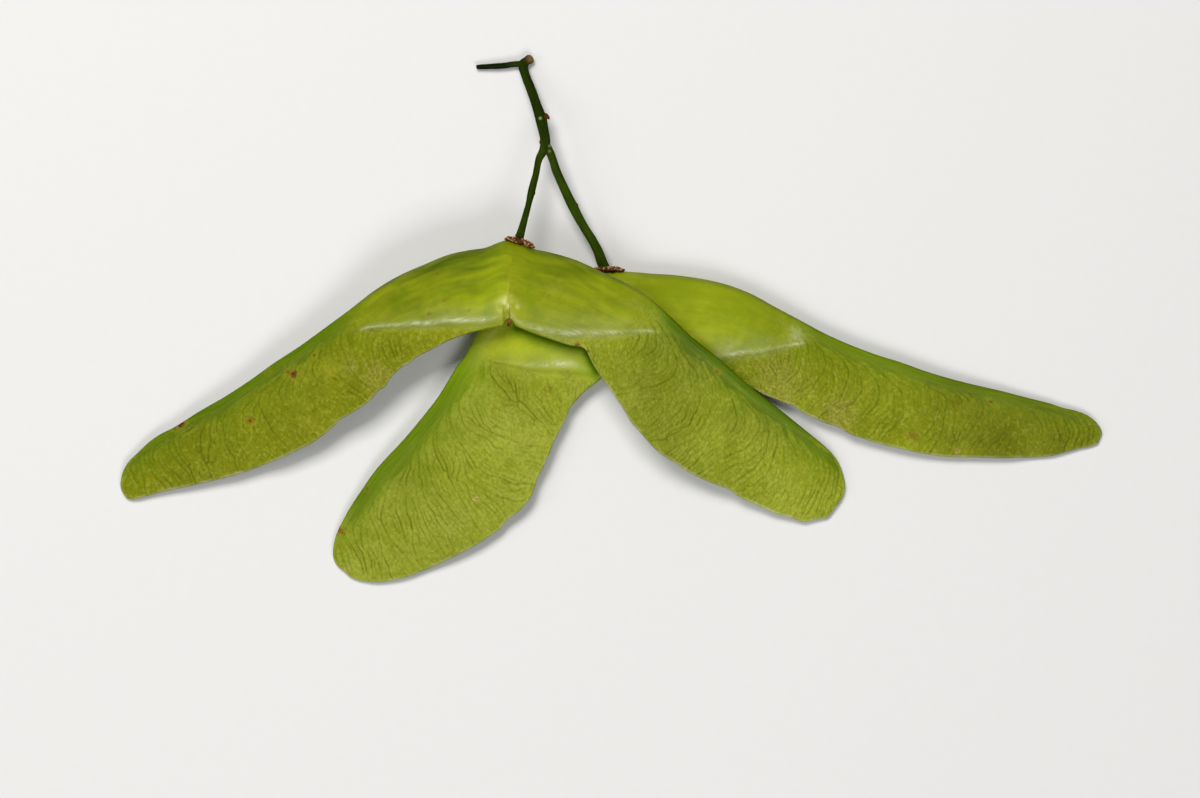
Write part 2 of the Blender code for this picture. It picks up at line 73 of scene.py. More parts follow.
FRONT_RIGHT = dict(
    seam=FRONT_SEAM,
    lead=[(-8.29, 7.03), (-7.43, 6.57), (-5.82, 6.20), (-4.68, 5.90), (-3.44, 5.51),
          (-2.30, 5.02), (-1.07, 4.44), (1.31, 3.32), (2.45, 2.68), (3.68, 1.85),
          (4.82, 0.85), (6.06, -0.31), (7.20, -1.42), (8.43, -2.44), (9.57, -3.33),
          (10.81, -4.36), (13.18, -6.47), (15.56, -8.31), (17.93, -10.21), (20.31, -12.16)],
    tip=[(20.97, -12.83), (21.54, -13.63), (21.92, -14.58), (22.16, -15.53), (22.21, -16.10),
         (22.02, -16.83), (21.64, -17.47), (20.97, -18.29)],
    trail=[(20.50, -18.88), (19.64, -19.08), (18.98, -19.20), (18.31, -19.33), (17.65, -19.16),
           (16.70, -18.83), (15.56, -18.53), (14.80, -18.19), (13.18, -17.43), (12.23, -17.01),
           (11.57, -16.53), (11.00, -16.19), (9.57, -15.65), (8.43, -15.15), (7.20, -14.52),
           (6.06, -13.75), (4.82, -12.96), (3.68, -11.92), (2.92, -11.04), (1.88, -9.88),
           (1.31, -8.90), (0.59, -7.77), (-0.12, -6.75), (-0.88, -5.65), (-1.35, -4.99),
           (-1.78, -4.28), (-2.21, -3.40), (-2.59, -2.86), (-3.21, -2.69), (-3.82, -2.59),
           (-4.68, -2.36), (-5.82, -1.98), (-7.05, -1.57), (-8.19, -1.12), (-9.05, -0.73),
           (-9.24, -0.43), (-9.43, -0.19)],
    ridge=[(-9.55, -0.20), (-8.19, -0.76), (-4.87, -1.38), (-1.07, -1.34), (2.73, -0.95),
           (5.39, -0.90), (7.96, -2.14)],
    height=[(0.0, 4.78, 4.78), (0.28, 4.78, 4.60), (0.45, 4.35, 3.90), (0.62, 3.20, 2.50),
            (0.80, 1.75, 1.20), (1.0, 0.45, 0.25)],
)

BACK_LEFT = dict(
    seam=BACK_SEAM,
    lead=[(-1.10, 4.52), (-2.02, 4.23), (-4.39, 3.61), (-6.77, 2.80), (-9.14, 1.71),
          (-11.04, 0.52), (-12.18, -0.52), (-12.94, -1.57), (-13.89, -3.51), (-14.65, -4.56),
          (-15.32, -5.68), (-15.98, -6.75), (-16.55, -7.63), (-17.69, -9.10), (-18.88, -10.55),
          (-20.07, -11.91), (-21.26, -13.15), (-22.44, -14.50), (-23.63, -16.19),
          (-24.82, -18.00), (-25.48, -19.19), (-26.01, -20.28)],
    tip=[(-26.34, -21.37), (-26.43, -22.28), (-26.34, -22.90), (-26.05, -23.46),
         (-25.58, -23.87), (-24.82, -24.51)],
    trail=[(-24.15, -24.82), (-23.20, -25.00), (-22.25, -25.07), (-21.30, -24.97),
           (-20.07, -24.73), (-18.88, -24.37), (-18.17, -24.08), (-16.51, -23.40),
           (-15.32, -22.82), (-14.13, -22.24), (-12.94, -21.58), (-11.76, -20.82),
           (-10.57, -20.00), (-9.90, -19.19), (-8.95, -18.46), (-8.19, -17.72), (-7.53, -16.82),
           (-7.31, -16.20), (-7.01, -15.28), (-6.29, -13.82), (-5.82, -12.73), (-5.34, -11.54),
           (-4.68, -10.28), (-4.30, -9.55), (-3.92, -8.55), (-3.35, -7.84), (-2.78, -7.19),
           (-2.02, -6.56), (-0.97, -5.78), (-0.12, -4.99), (0.55, -4.28), (0.78, -3.75),
           (0.95, -3.47)],
    ridge=[(1.10, -3.50), (-1.07, -5.32), (-3.44, -4.89), (-7.72, -4.51), (-11.04, -3.75),
           (-13.42, -3.30), (-14.65, -4.60)],
    height=[(0.0, 1.50, 1.50), (0.36, 1.50, 1.50), (0.60, 1.45, 1.15), (0.80, 0.95, 0.62),
            (1.0, 0.32, 0.20)],
)

BACK_RIGHT = dict(
    seam=BACK_SEAM,
    lead=[(0.26, 4.49), (1.02, 4.46), (2.45, 4.36), (3.68, 4.25), (6.06, 4.09), (8.43, 3.77),
          (10.81, 3.24), (13.18, 2.36), (15.56, 1.07), (17.93, -0.19), (20.31, -1.47),
          (22.68, -2.52), (25.06, -3.42), (27.43, -4.16), (29.81, -5.01), (32.18, -5.72),
          (34.56, -6.32), (36.93, -6.86), (39.31, -7.48), (41.68, -8.08), (42.82, -8.46),
          (44.06, -8.75)],
    tip=[(45.20, -9.19), (45.96, -9.77), (46.43, -10.40), (46.59, -10.88), (46.43, -11.35),
         (46.15, -11.88)],
    trail=[(45.20, -12.26), (44.53, -12.35), (42.82, -12.80), (41.68, -13.08), (40.45, -13.20),
           (39.31, -13.23), (36.93, -13.28), (34.56, -13.20), (32.18, -13.17), (29.81, -12.89),
           (27.43, -12.38), (25.06, -11.81), (23.82, -11.39), (22.68, -10.99), (21.45, -10.31),
           (20.31, -9.93), (19.07, -9.38), (17.93, -8.79), (17.27, -8.27), (16.70, -8.10),
           (15.56, -7.67), (14.32, -7.19), (13.37, -6.63), (11.76, -6.06), (9.86, -5.54),
           (7.48, -5.04), (5.11, -4.70), (3.21, -4.42), (2.11, -4.11), (1.64, -3.75),
           (1.38, -3.47)],
    ridge=[(1.25, -3.50), (4.63, -3.80), (7.48, -3.95), (10.33, -3.70), (13.37, -3.18),
           (16.51, -2.47), (17.93, -2.09), (20.31, -1.90)],
    height=[(0.0, 1.50, 1.50), (0.36, 1.50, 1.50), (0.60, 1.35, 1.10), (0.80, 0.85, 0.60),
            (1.0, 0.32, 0.20)],
)

NUTLET_HALF = 1.50
NUTLET_AT_SEAM = 0.84
NUTLET_ENDS_AT = 0.44
WING_HALF = 0.17
WING_HALF_TIP = 0.13
EDGE_RIB_HALF = 0.30
SEAM_GAP = 0.0
NU, NV = 620, 112  # columns along a samara, rows across its upper side
UNDER = 3  # the underside has one row for this many upper rows


# ============================================================================
# small tools
# ============================================================================
def smooth_curve(points, per_span=24):
    """Centripetal Catmull-Rom through the points; also the index of each point."""
    p = np.array(points, float)
    q = np.vstack([2 * p[0] - p[1], p, 2 * p[-1] - p[-2]])
    t = np.concatenate([[0.0], np.cumsum(np.sqrt(np.linalg.norm(np.diff(q, axis=0), axis=1)))])
    out = []
    for i in range(1, len(q) - 2):
        t0, t1, t2, t3 = t[i - 1 : i + 3]
        p0, p1, p2, p3 = q[i - 1 : i + 3]
        s = np.linspace(t1, t2, per_span, endpoint=False)[:, None]
        a1 = (t1 - s) / (t1 - t0) * p0 + (s - t0) / (t1 - t0) * p1
        a2 = (t2 - s) / (t2 - t1) * p1 + (s - t1) / (t2 - t1) * p2
        a3 = (t3 - s) / (t3 - t2) * p2 + (s - t2) / (t3 - t2) * p3
        b1 = (t2 - s) / (t2 - t0) * a1 + (s - t0) / (t2 - t0) * a2
        b2 = (t3 - s) / (t3 - t1) * a2 + (s - t1) / (t3 - t1) * a3
        out.append((t2 - s) / (t2 - t1) * b1 + (s - t1) / (t2 - t1) * b2)
    out.append(p[-1][None])
    return np.vstack(out), [i * per_span for i in range(len(p))]


def even(curve, shares):
    steps = np.linalg.norm(np.diff(curve, axis=0), axis=1)
    along = np.concatenate([[0.0], np.cumsum(steps)])
    along /= along[-1]
    return np.stack([np.interp(shares, along, curve[:, k]) for k in range(curve.shape[1])], -1)


def ease(t):
    t = np.clip(t, 0.0, 1.0)
    return t * t * (3 - 2 * t)


def smooth_table(table, at):
    curve, _ = smooth_curve([(row[0], row[1]) for row in table], 12)
    order = np.maximum.accumulate(curve[:, 0])
    return np.interp(at, order, curve[:, 1])


def lattice(x, y, seed, octaves=1, gain=0.5):
    """Smooth value noise in -1..1 at points x, y, whose unit is one wavelength."""
    total, amp, norm = 0.0, 1.0, 0.0
    for o in range(octaves):
        rng = np.random.default_rng(seed + 101 * o)
        grid = rng.uniform(-1, 1, (256, 256))
        fx, fy = np.floor(x).astype(int), np.floor(y).astype(int)
        tx, ty = x - fx, y - fy
        tx, ty = tx * tx * tx * (tx * (6 * tx - 15) + 10), ty * ty * ty * (ty * (6 * ty - 15) + 10)
        x0, x1, y0, y1 = fx % 256, (fx + 1) % 256, fy % 256, (fy + 1) % 256
        low = grid[y0, x0] * (1 - tx) + grid[y0, x1] * tx
        high = grid[y1, x0] * (1 - tx) + grid[y1, x1] * tx
        total = total + amp * (low * (1 - ty) + high * ty)
        norm += amp
        amp *= gain
        x, y = x * 2.03 + 17.3, y * 2.03 + 5.1
    return total / norm * 1.6


def blur(a, sigma):
    r = int(3 * sigma + 0.5)
    k = np.exp(-0.5 * (np.arange(-r, r + 1) / sigma) ** 2)
    k /= k.sum()
    for axis in (0, 1):
        pad = [(r, r) if ax == axis else (0, 0) for ax in (0, 1)]
        p = np.pad(a, pad, mode="edge")
        out = np.zeros_like(a)
        n = a.shape[axis]
        for i, w in enumerate(k):
            cut = [slice(None)] * 2
            cut[axis] = slice(i, i + n)
            out += w * p[tuple(cut)]
        a = out
    return a


# ============================================================================
# a samara's shape
# ============================================================================
class Samara:
    def __init__(self, spec, side, seed):
        lead, tip, trail, seam = spec["lead"], spec["tip"], spec["trail"], spec["seam"]
        outline = [seam[0]] + lead + tip + trail + [seam[2]]
        curve, at = smooth_curve(outline)
        a, b = at[len(lead) + 1], at[len(lead) + len(tip)]
        self.lead, self.tip, self.trail = curve[: a + 1], curve[a : b + 1], curve[b:][::-1]
        self.seam = smooth_curve(seam)[0]
        self.side, self.seed = side, seed
        self.height = spec["height"]
        self.ridge = smooth_curve(spec["ridge"])[0]
        down = self.seam[-1] - self.seam[0]
        down /= np.linalg.norm(down)
        self.inward = side * np.array([-down[1], down[0]])
        us = np.linspace(0, 1, 201)
        l, t = even(self.lead, us), even(self.trail, us)
        self.us, self.width = us, np.linalg.norm(t - l, axis=1)
        self.length = 0.5 * sum(
            np.linalg.norm(np.diff(c, axis=0), axis=1).sum() for c in (self.lead, self.trail)
        )
        self.foot = self.find_ridge(us)

    def plan(self, u, v):
        left, right = even(self.lead, u), even(self.trail, u)
        start, end = even(self.seam, v), even(self.tip, v)
        u, v = u[..., None], v[..., None]
        corners = (1 - u) * ((1 - v) * self.lead[0] + v * self.trail[0]) + u * (
            (1 - v) * self.lead[-1] + v * self.trail[-1]
        )
        flat = (1 - v) * left + v * right + (1 - u) * start + u * end - corners
        return flat + self.inward * (SEAM_GAP / 2) * (1 - u) ** 8

    def find_ridge(self, us):
        vs = np.linspace(0, 1, 161)
        found = []
        for u in us:
            line = self.plan(np.full(len(vs), u), vs)
            gap = np.linalg.norm(line[:, None] - self.ridge[None], axis=2).min(axis=1)
            found.append(vs[gap.argmin()])
        found = np.maximum(np.array(found), 0.10)
        k = np.exp(-0.5 * (np.arange(-9, 10) / 4.0) ** 2)
        smooth = np.convolve(np.pad(found, 9, mode="edge"), k / k.sum(), mode="valid")
        return np.minimum(smooth + 0.05 * ease(us / 0.06), 1.0)

    def mid(self, u, v):
        first = smooth_table([(r[0], r[1]) for r in self.height], u)
        last = smooth_table([(r[0], r[2]) for r in self.height], u)
        return first * (1 - v) + last * v

    def parts(self, u, v):
        """The named shares of the shape at u, v: foot, w, dome, the nutlet's share along, width, and distances in mm.
        """
        foot = np.interp(u, self.us, self.foot)
        width = np.interp(u, self.us, self.width)
        w = v / foot
        rise = np.clip(1 - np.abs(1 - 2 * np.minimum(w, 0.5)) ** 2.6, 0, 1) ** 0.6
        # beyond the middle the nutlet rounds over and drops to the wing, ending in a soft foot
        fall = 1 - np.clip((w - 0.5) * 2, 0, 1.6) ** 2.7
        soft = 0.24
        fall = 0.5 * (fall + np.sqrt(fall * fall + soft * soft)) / (0.5 * (1 + math.sqrt(1 + soft * soft)))
        dome = np.where(w < 0.5, rise, fall)
        along = np.interp(u, [0.0, 0.05, 0.10, 0.20, 0.30], [0.90, 0.955, 0.985, 0.975, 0.72])
        along = np.where(u > 0.30, 0.72 * (1 - ease((u - 0.30) / (NUTLET_ENDS_AT - 0.30))), along)
        d_lead, d_trail, d_tip = v * width, (1 - v) * width, (1 - u) * self.length
        return dict(foot=foot, w=w, dome=dome, along=along, d_lead=d_lead, d_trail=d_trail,
                    d_tip=d_tip, d_seam=u * self.length, width=width)

    def half(self, u, v, p):
        wing = WING_HALF + (WING_HALF_TIP - WING_HALF) * u
        nutlet = (NUTLET_HALF - WING_HALF) * p["along"] * p["dome"]
        rib = EDGE_RIB_HALF * (1 - 0.60 * u) * (1 - ease((p["d_lead"] - 0.35) / 1.6))
        rib = rib * ease((u - 0.05) / 0.25)
        thick = wing + nutlet + rib
        def rounded(d, r):
            t = 1 - np.clip(d / r, 0, 1)
            return np.sqrt(np.maximum(1 - t * t, 0))
        lead_r = 0.30 + 0.25 * ease((0.45 - u) / 0.3)
        thick = thick * rounded(p["d_lead"], lead_r) * rounded(p["d_trail"], 0.16)
        thick = thick * rounded(p["d_tip"], 0.18)
        # a small groove where the two samaras meet
        groove = 0.006 + 0.055 * ease((v - 0.78) / 0.17)
        thick = thick - groove * np.exp(-((p["d_seam"] / 0.15) ** 2)) * ease(p["dome"] * 3)
        return np.maximum(thick, 0.0)


# ============================================================================
# veins of the wing
# ============================================================================
class Flow:
    """Which way the veins run at each place: at a narrow angle where they leave the
    leading edge's bundle, then swinging over until they meet the free edge."""

    STEP = 0.12  # mm

    def __init__(self, shape, far):
        n, m = 240, 120
        u, v = np.linspace(0, 1, n + 1), np.linspace(0, 1, m + 1)
        U, V = np.meshgrid(u, v, indexing="ij")
        p = shape.plan(U, V)
        pu, pv = np.gradient(p, u, axis=0), np.gradient(p, v, axis=1)
        k = np.exp(-0.5 * (np.arange(-24, 25) / 9.0) ** 2)
        k /= k.sum()
        tangents = []
        for curve in (shape.lead, shape.trail):
            t = np.gradient(even(curve, u), axis=0)
            t = np.stack([np.convolve(np.pad(t[:, c], 24, mode="edge"), k, mode="valid") for c in (0, 1)], -1)
            tangents.append(t / np.linalg.norm(t, axis=1)[:, None])
        axis = tangents[0][:, None] * (1 - V[..., None]) + tangents[1][:, None] * V[..., None]
        axis /= np.linalg.norm(axis, axis=-1)[..., None]
        foot = np.interp(u, shape.us, shape.foot)
        t = ease((u - 0.29) / 0.15)
        self.u, self.start = u, foot * (1 - t) + 0.09 * t
        first = np.radians(34 * (1 - t) + 10 * t)[:, None]
        x = V - self.start[:, None]
        half_way, last = math.radians(68), math.radians(far)
        turn = first + (half_way - first) * ease(x / 0.36) + (last - half_way) * ease((x - 0.22) / 0.46)
        # they wander, neighbours much alike
        sway = 22 * lattice(p[..., 0] / 2.1, p[..., 1] / 2.1, shape.seed + 61, 2)
        sway += 10 * lattice(p[..., 0] / 0.9 + 9, p[..., 1] / 0.9, shape.seed + 62)
        turn = turn + np.radians(sway) * ease((x + 0.02) / 0.16)
        turn = -shape.side * turn
        c, d = np.cos(turn), np.sin(turn)
        way = np.stack([axis[..., 0] * c - axis[..., 1] * d, axis[..., 0] * d + axis[..., 1] * c], -1)
        det = pu[..., 0] * pv[..., 1] - pu[..., 1] * pv[..., 0]
        det = np.where(np.abs(det) < 4, np.sign(det) * 4, det)
        du = (way[..., 0] * pv[..., 1] - way[..., 1] * pv[..., 0]) / det
        dv = np.maximum((pu[..., 0] * way[..., 1] - pu[..., 1] * way[..., 0]) / det, 0.003)
        # near the tip they follow its edge instead of leaving over it
        du = np.where(du > 0, du * np.clip((0.998 - U) / 0.06, 0, 1), du)
        self.grid = np.stack([du, dv, p[..., 0], p[..., 1]], -1)
        self.n, self.m = n, m

    def at(self, u, v):
        """(du, dv) per mm, x and y at one place."""
        x, y = min(max(u, 0.0), 0.9999) * self.n, min(max(v, 0.0), 0.9999) * self.m
        i, j = int(x), int(y)
        fx, fy = x - i, y - j
        g = self.grid
        return ((g[i, j] * (1 - fx) + g[i + 1, j] * fx) * (1 - fy)
                + (g[i, j + 1] * (1 - fx) + g[i + 1, j + 1] * fx) * fy).tolist()


class Near:
    """Points of the veins drawn so far, kept by place."""

    CELL = 0.75

    def __init__(self):
        self.cells = {}

    def add(self, x, y, vein, k):
        self.cells.setdefault((int(x // self.CELL), int(y // self.CELL)), []).append((x, y, vein, k))

    def closest(self, x, y, but=(), reach=0.75):
        best, found = reach * reach, None
        i, j = int(x // self.CELL), int(y // self.CELL)
        for a in (i - 1, i, i + 1):
            for b in (j - 1, j, j + 1):
                for point in self.cells.get((a, b), ()):
                    if point[2] in but:
                        continue
                    d = (point[0] - x) ** 2 + (point[1] - y) ** 2
                    if d < best:
                        best, found = d, point
        return math.sqrt(best), found


def vein_curves(shape, rng, far=96.0):
    """Veins as (points, strength, kind): main veins from the bundle and the nutlet's
    foot, forks wherever two of them leave room, a finer net between, and short
    cross-links. kind is 1 on the main ones, where green runs out of the bundle."""
    flow, near = Flow(shape, far), Near()
    step = flow.STEP
    veins = []  # dicts: pts (x, y, u, v), kind, power

    def grow(u, v, room, skip=(), most=400):
        rows, joined = [], None
        for n in range(most):
            du, dv, x, y = flow.at(u, v)
            if n:
                gap, other = near.closest(x, y, skip)
                if gap < room(n * step):
                    joined = other
                    break
            rows.append((x, y, u, v))
            u, v = u + du * step, v + dv * step
            if not (0.004 < u < 0.9965 and v < 0.992):
                break
        return rows, joined

    def keep(rows, joined, kind, power, head=()):
        number = len(veins)
        rows = list(head) + rows
        for k, (x, y, _, _) in enumerate(rows):
            near.add(x, y, number, k)
        if joined is not None:
            rows = rows + [(joined[0], joined[1], rows[-1][2], rows[-1][3])]
        veins.append(dict(pts=np.array(rows), kind=kind, power=power))
        return number

    seeds, u0 = [], 0.02
    while u0 < 0.985:
        v0 = float(np.interp(u0, flow.u, flow.start)) + 0.01 + 0.03 * rng.random()
        seeds.append((u0, v0))
        u0 += (0.50 + 0.45 * rng.random()) / shape.length
    for k in rng.permutation(len(seeds)):
        rows, joined = grow(*seeds[k], lambda s: 0.05 + 0.25 * float(ease((s - 0.6) / 2.6)))
        if len(rows) > 9:
            keep(rows, joined, 1, 0.80 + 0.45 * rng.random())

    for apart, power, chance in ((0.60, 0.70, 1.0), (0.36, 0.42, 0.85)):
        k = 0
        while k < len(veins):
            pts = veins[k]["pts"]
            for i in range(8, len(pts) - 4, 3):
                x, y, u, v = pts[i]
                if v - float(np.interp(u, flow.u, flow.start)) < (0.06 if apart > 0.5 else 0.12):
                    continue
                dx, dy = pts[i + 1, 0] - pts[i - 1, 0], pts[i + 1, 1] - pts[i - 1, 1]
                size = math.hypot(dx, dy) + 1e-9
                for turn in (1, -1):
                    cx, cy = x - turn * dy / size * apart, y + turn * dx / size * apart
                    if near.closest(cx, cy)[0] < 0.84 * apart or rng.random() > chance:
                        continue
                    # the same offset in u, v
                    g = flow.at(u, v)
                    gu = flow.at(u + 0.004, v)
                    gv = flow.at(u, v + 0.008)
                    a, b, c, d = gu[2] - g[2], gv[2] - g[2], gu[3] - g[3], gv[3] - g[3]
                    det = a * d - b * c
                    if abs(det) < 1e-9:
                        continue
                    cu = u + 0.004 * ((cx - x) * d - b * (cy - y)) / det
                    cv = v + 0.008 * (a * (cy - y) - (cx - x) * c) / det
                    if not (0.01 < cu < 0.99 and cv < 0.97):
                        continue
                    if cv < float(np.interp(cu, flow.u, flow.start)) + 0.03:
                        continue
                    rows, joined = grow(cu, cv, lambda s: 0.50 * apart)
                    if len(rows) < (9 if apart > 0.5 else 6):
                        continue
                    # the fork leaves its parent a little upstream
                    back = max(i - int(rng.integers(5, 9)), 0)
                    p0, p1 = pts[back], np.array(rows[0])
                    h0 = pts[min(back + 3, len(pts) - 1)] - p0
                    h1 = np.array(rows[2]) - p1
                    t = np.linspace(0, 1, 9)[:-1, None]
                    bend = ((1 - t) ** 3 * p0 + 3 * (1 - t) ** 2 * t * (p0 + h0)
                            + 3 * (1 - t) * t**2 * (p1 - h1) + t**3 * p1)
                    keep(rows, joined, 0, power * (0.75 + 0.5 * rng.random()), [tuple(r) for r in bend])
            k += 1
            if k > 2500:
                break

    out = []
    width = float(np.interp(0.6, shape.us, shape.width))

    def drift(xy):
        # small kinks, shared by everything that passes
        x, y = xy[:, 0], xy[:, 1]
        dx = 0.050 * lattice(x / 0.62, y / 0.62, shape.seed + 65) + 0.020 * lattice(x / 0.27, y / 0.27, shape.seed + 66)
        dy = 0.050 * lattice(x / 0.62 + 40, y / 0.62, shape.seed + 67) + 0.020 * lattice(x / 0.27, y / 0.27, shape.seed + 68)
        return xy + np.stack([dx, dy], -1)

    for vein in veins:
        pts = vein["pts"]
        along = np.arange(len(pts)) * step
        if vein["kind"]:
            on_nutlet = pts[0, 2] < 0.36
            fade = ease(along / (1.7 if on_nutlet else 1.1) + 0.08)
        else:
            fade = 0.35 + 0.65 * ease(along / 0.9)
        patch = 0.78 + 0.45 * lattice(pts[:, 0] / 2.4, pts[:, 1] / 2.4, shape.seed + 63, 2)
        patch = patch + 0.25 * lattice(pts[:, 0] / 0.7, pts[:, 1] / 0.7, shape.seed + 69)
        late = 1 - 0.25 * ease((pts[:, 3] - 0.75) / 0.25)
        s = vein["power"] * fade * np.clip(patch, 0.2, 1.3) * late
        out.append((drift(pts[:, :2]), s, vein["kind"]))
    # cross-links
    for number, vein in enumerate(veins):
        pts = vein["pts"]
        for _ in range(rng.poisson(len(pts) * step * 0.42)):
            i = int(rng.integers(1, len(pts) - 1))
            x, y, u, v = pts[i]
            if v - float(np.interp(u, flow.u, flow.start)) < 0.10:
                continue
            gap, other = near.closest(x, y, (number,), 0.74)
            if other is None or gap < 0.14:
                continue
            mate = veins[other[2]]["pts"]
            far_end = mate[int(np.clip(other[3] + rng.integers(-2, 4), 0, len(mate) - 1))]
            t = np.linspace(0, 1, 9)[:, None]
            line = pts[i, :2] * (1 - t) + far_end[:2] * t
            out.append((drift(line), np.full(9, 0.16 + 0.30 * rng.random()), 0))
    return out


class Field:
    """A raster over the plan, only for drawing veins and looking them up."""

    def __init__(self, shape, pitch=0.02):
        pts = np.vstack([shape.lead, shape.tip, shape.trail])
        self.low = pts.min(axis=0) - 0.6
        size = np.ceil((pts.max(axis=0) + 0.6 - self.low) / pitch).astype(int) + 1
        self.pitch, self.grid = pitch, np.zeros((size[1], size[0]), np.float32)
        self.green = np.zeros_like(self.grid)

    def line(self, xy, strength, green=False):
        steps = np.linalg.norm(np.diff(xy, axis=0), axis=1)
        along = np.concatenate([[0.0], np.cumsum(steps)])
        if along[-1] <= 0:
            return
        s = np.arange(0, along[-1], self.pitch * 0.5)
        x = (np.interp(s, along, xy[:, 0]) - self.low[0]) / self.pitch
        y = (np.interp(s, along, xy[:, 1]) - self.low[1]) / self.pitch
        a = np.interp(s, along, strength).astype(np.float32)
        at = (np.round(y).astype(int), np.round(x).astype(int))
        np.maximum.at(self.grid, at, a)
        if green:
            np.maximum.at(self.green, at, np.exp(-((s / 3.2) ** 2)).astype(np.float32))

    def look(self, grid, xy):
        x = np.clip((xy[..., 0] - self.low[0]) / self.pitch, 0, grid.shape[1] - 1.001)
        y = np.clip((xy[..., 1] - self.low[1]) / self.pitch, 0, grid.shape[0] - 1.001)
        i, j = x.astype(int), y.astype(int)
        fx, fy = x - i, y - j
        return (grid[j, i] * (1 - fx) + grid[j, i + 1] * fx) * (1 - fy) + (
            grid[j + 1, i] * (1 - fx) + grid[j + 1, i + 1] * fx
        ) * fy


# ============================================================================
# node-tree shorthand
# ============================================================================
class Tree:
    def __init__(self, name):
        self.mat = bpy.data.materials.new(name)
        self.mat.use_nodes = True
        self.t = self.mat.node_tree
        self.shader = self.t.nodes["Principled BSDF"]

    def node(self, kind, **inputs):
        n = self.t.nodes.new(kind)
        for key, value in inputs.items():
            if key in ("operation", "blend_type", "data_type", "feature", "noise_dimensions",
                       "voronoi_dimensions", "attribute_name", "use_clamp", "clamp",
                       "interpolation_type", "attribute_type", "clamp_factor", "distance_metric"):
                setattr(n, key, value)
        return n

    def put(self, socket, value):
        if isinstance(value, bpy.types.NodeSocket):
            self.t.links.new(value, socket)
        else:
            socket.default_value = value

    def attr(self, name, out="Fac"):
        n = self.node("ShaderNodeAttribute", attribute_name=name)
        return n.outputs[out]

    def math(self, op, a, b=0.0, c=None, clamp=False):
        n = self.node("ShaderNodeMath", operation=op, use_clamp=clamp)
        self.put(n.inputs[0], a)
        self.put(n.inputs[1], b)
        if c is not None:
            self.put(n.inputs[2], c)
        return n.outputs[0]

    def ramp(self, value, low, high, to_low=0.0, to_high=1.0):
        n = self.t.nodes.new("ShaderNodeMapRange")
        n.interpolation_type = "SMOOTHSTEP"
        self.put(n.inputs["Value"], value)
        for key, x in (("From Min", low), ("From Max", high), ("To Min", to_low), ("To Max", to_high)):
            n.inputs[key].default_value = x
        return n.outputs["Result"]

    def mix(self, factor, a, b, blend="MIX"):
        n = self.t.nodes.new("ShaderNodeMix")
        n.data_type, n.blend_type = "RGBA", blend
        self.put(n.inputs["Factor"], factor)
        ins = [s for s in n.inputs if s.type == "RGBA"]
        self.put(ins[0], a)
        self.put(ins[1], b)
        return [s for s in n.outputs if s.type == "RGBA"][0]

    def noise(self, coords, scale, detail=2.0, rough=0.5, distortion=0.0):
        n = self.t.nodes.new("ShaderNodeTexNoise")
        self.put(n.inputs["Vector"], coords)
        n.inputs["Scale"].default_value = scale
        n.inputs["Detail"].default_value = detail
        n.inputs["Roughness"].default_value = rough
        n.inputs["Distortion"].default_value = distortion
        return n.outputs["Fac"]

    def voronoi(self, coords, scale, feature="F1", out="Distance"):
        n = self.t.nodes.new("ShaderNodeTexVoronoi")
        n.feature = feature
        self.put(n.inputs["Vector"], coords)
        n.inputs["Scale"].default_value = scale
        return n.outputs[out]

    def mapping(self, coords, scale, location=(0, 0, 0)):
        n = self.t.nodes.new("ShaderNodeMapping")
        self.put(n.inputs["Vector"], coords)
        n.inputs["Scale"].default_value = scale
        n.inputs["Location"].default_value = location
        return n.outputs["Vector"]

    def position(self):
        return self.t.nodes.new("ShaderNodeTexCoord").outputs["Object"]

    def bump(self, height, distance, strength=1.0, normal=None):
        n = self.t.nodes.new("ShaderNodeBump")
        self.put(n.inputs["Height"], height)
        n.inputs["Distance"].default_value = distance
        n.inputs["Strength"].default_value = strength
        if normal is not None:
            self.put(n.inputs["Normal"], normal)
        return n.outputs["Normal"]


def rgb(r, g, b, gain=1.0):
    """Display colour 0..255 to a linear colour."""
    out = []
    for c in (r, g, b):
        c /= 255
        out.append((c / 12.92 if c <= 0.04045 else ((c + 0.055) / 1.055) ** 2.4) * gain)
    return (*out, 1.0)


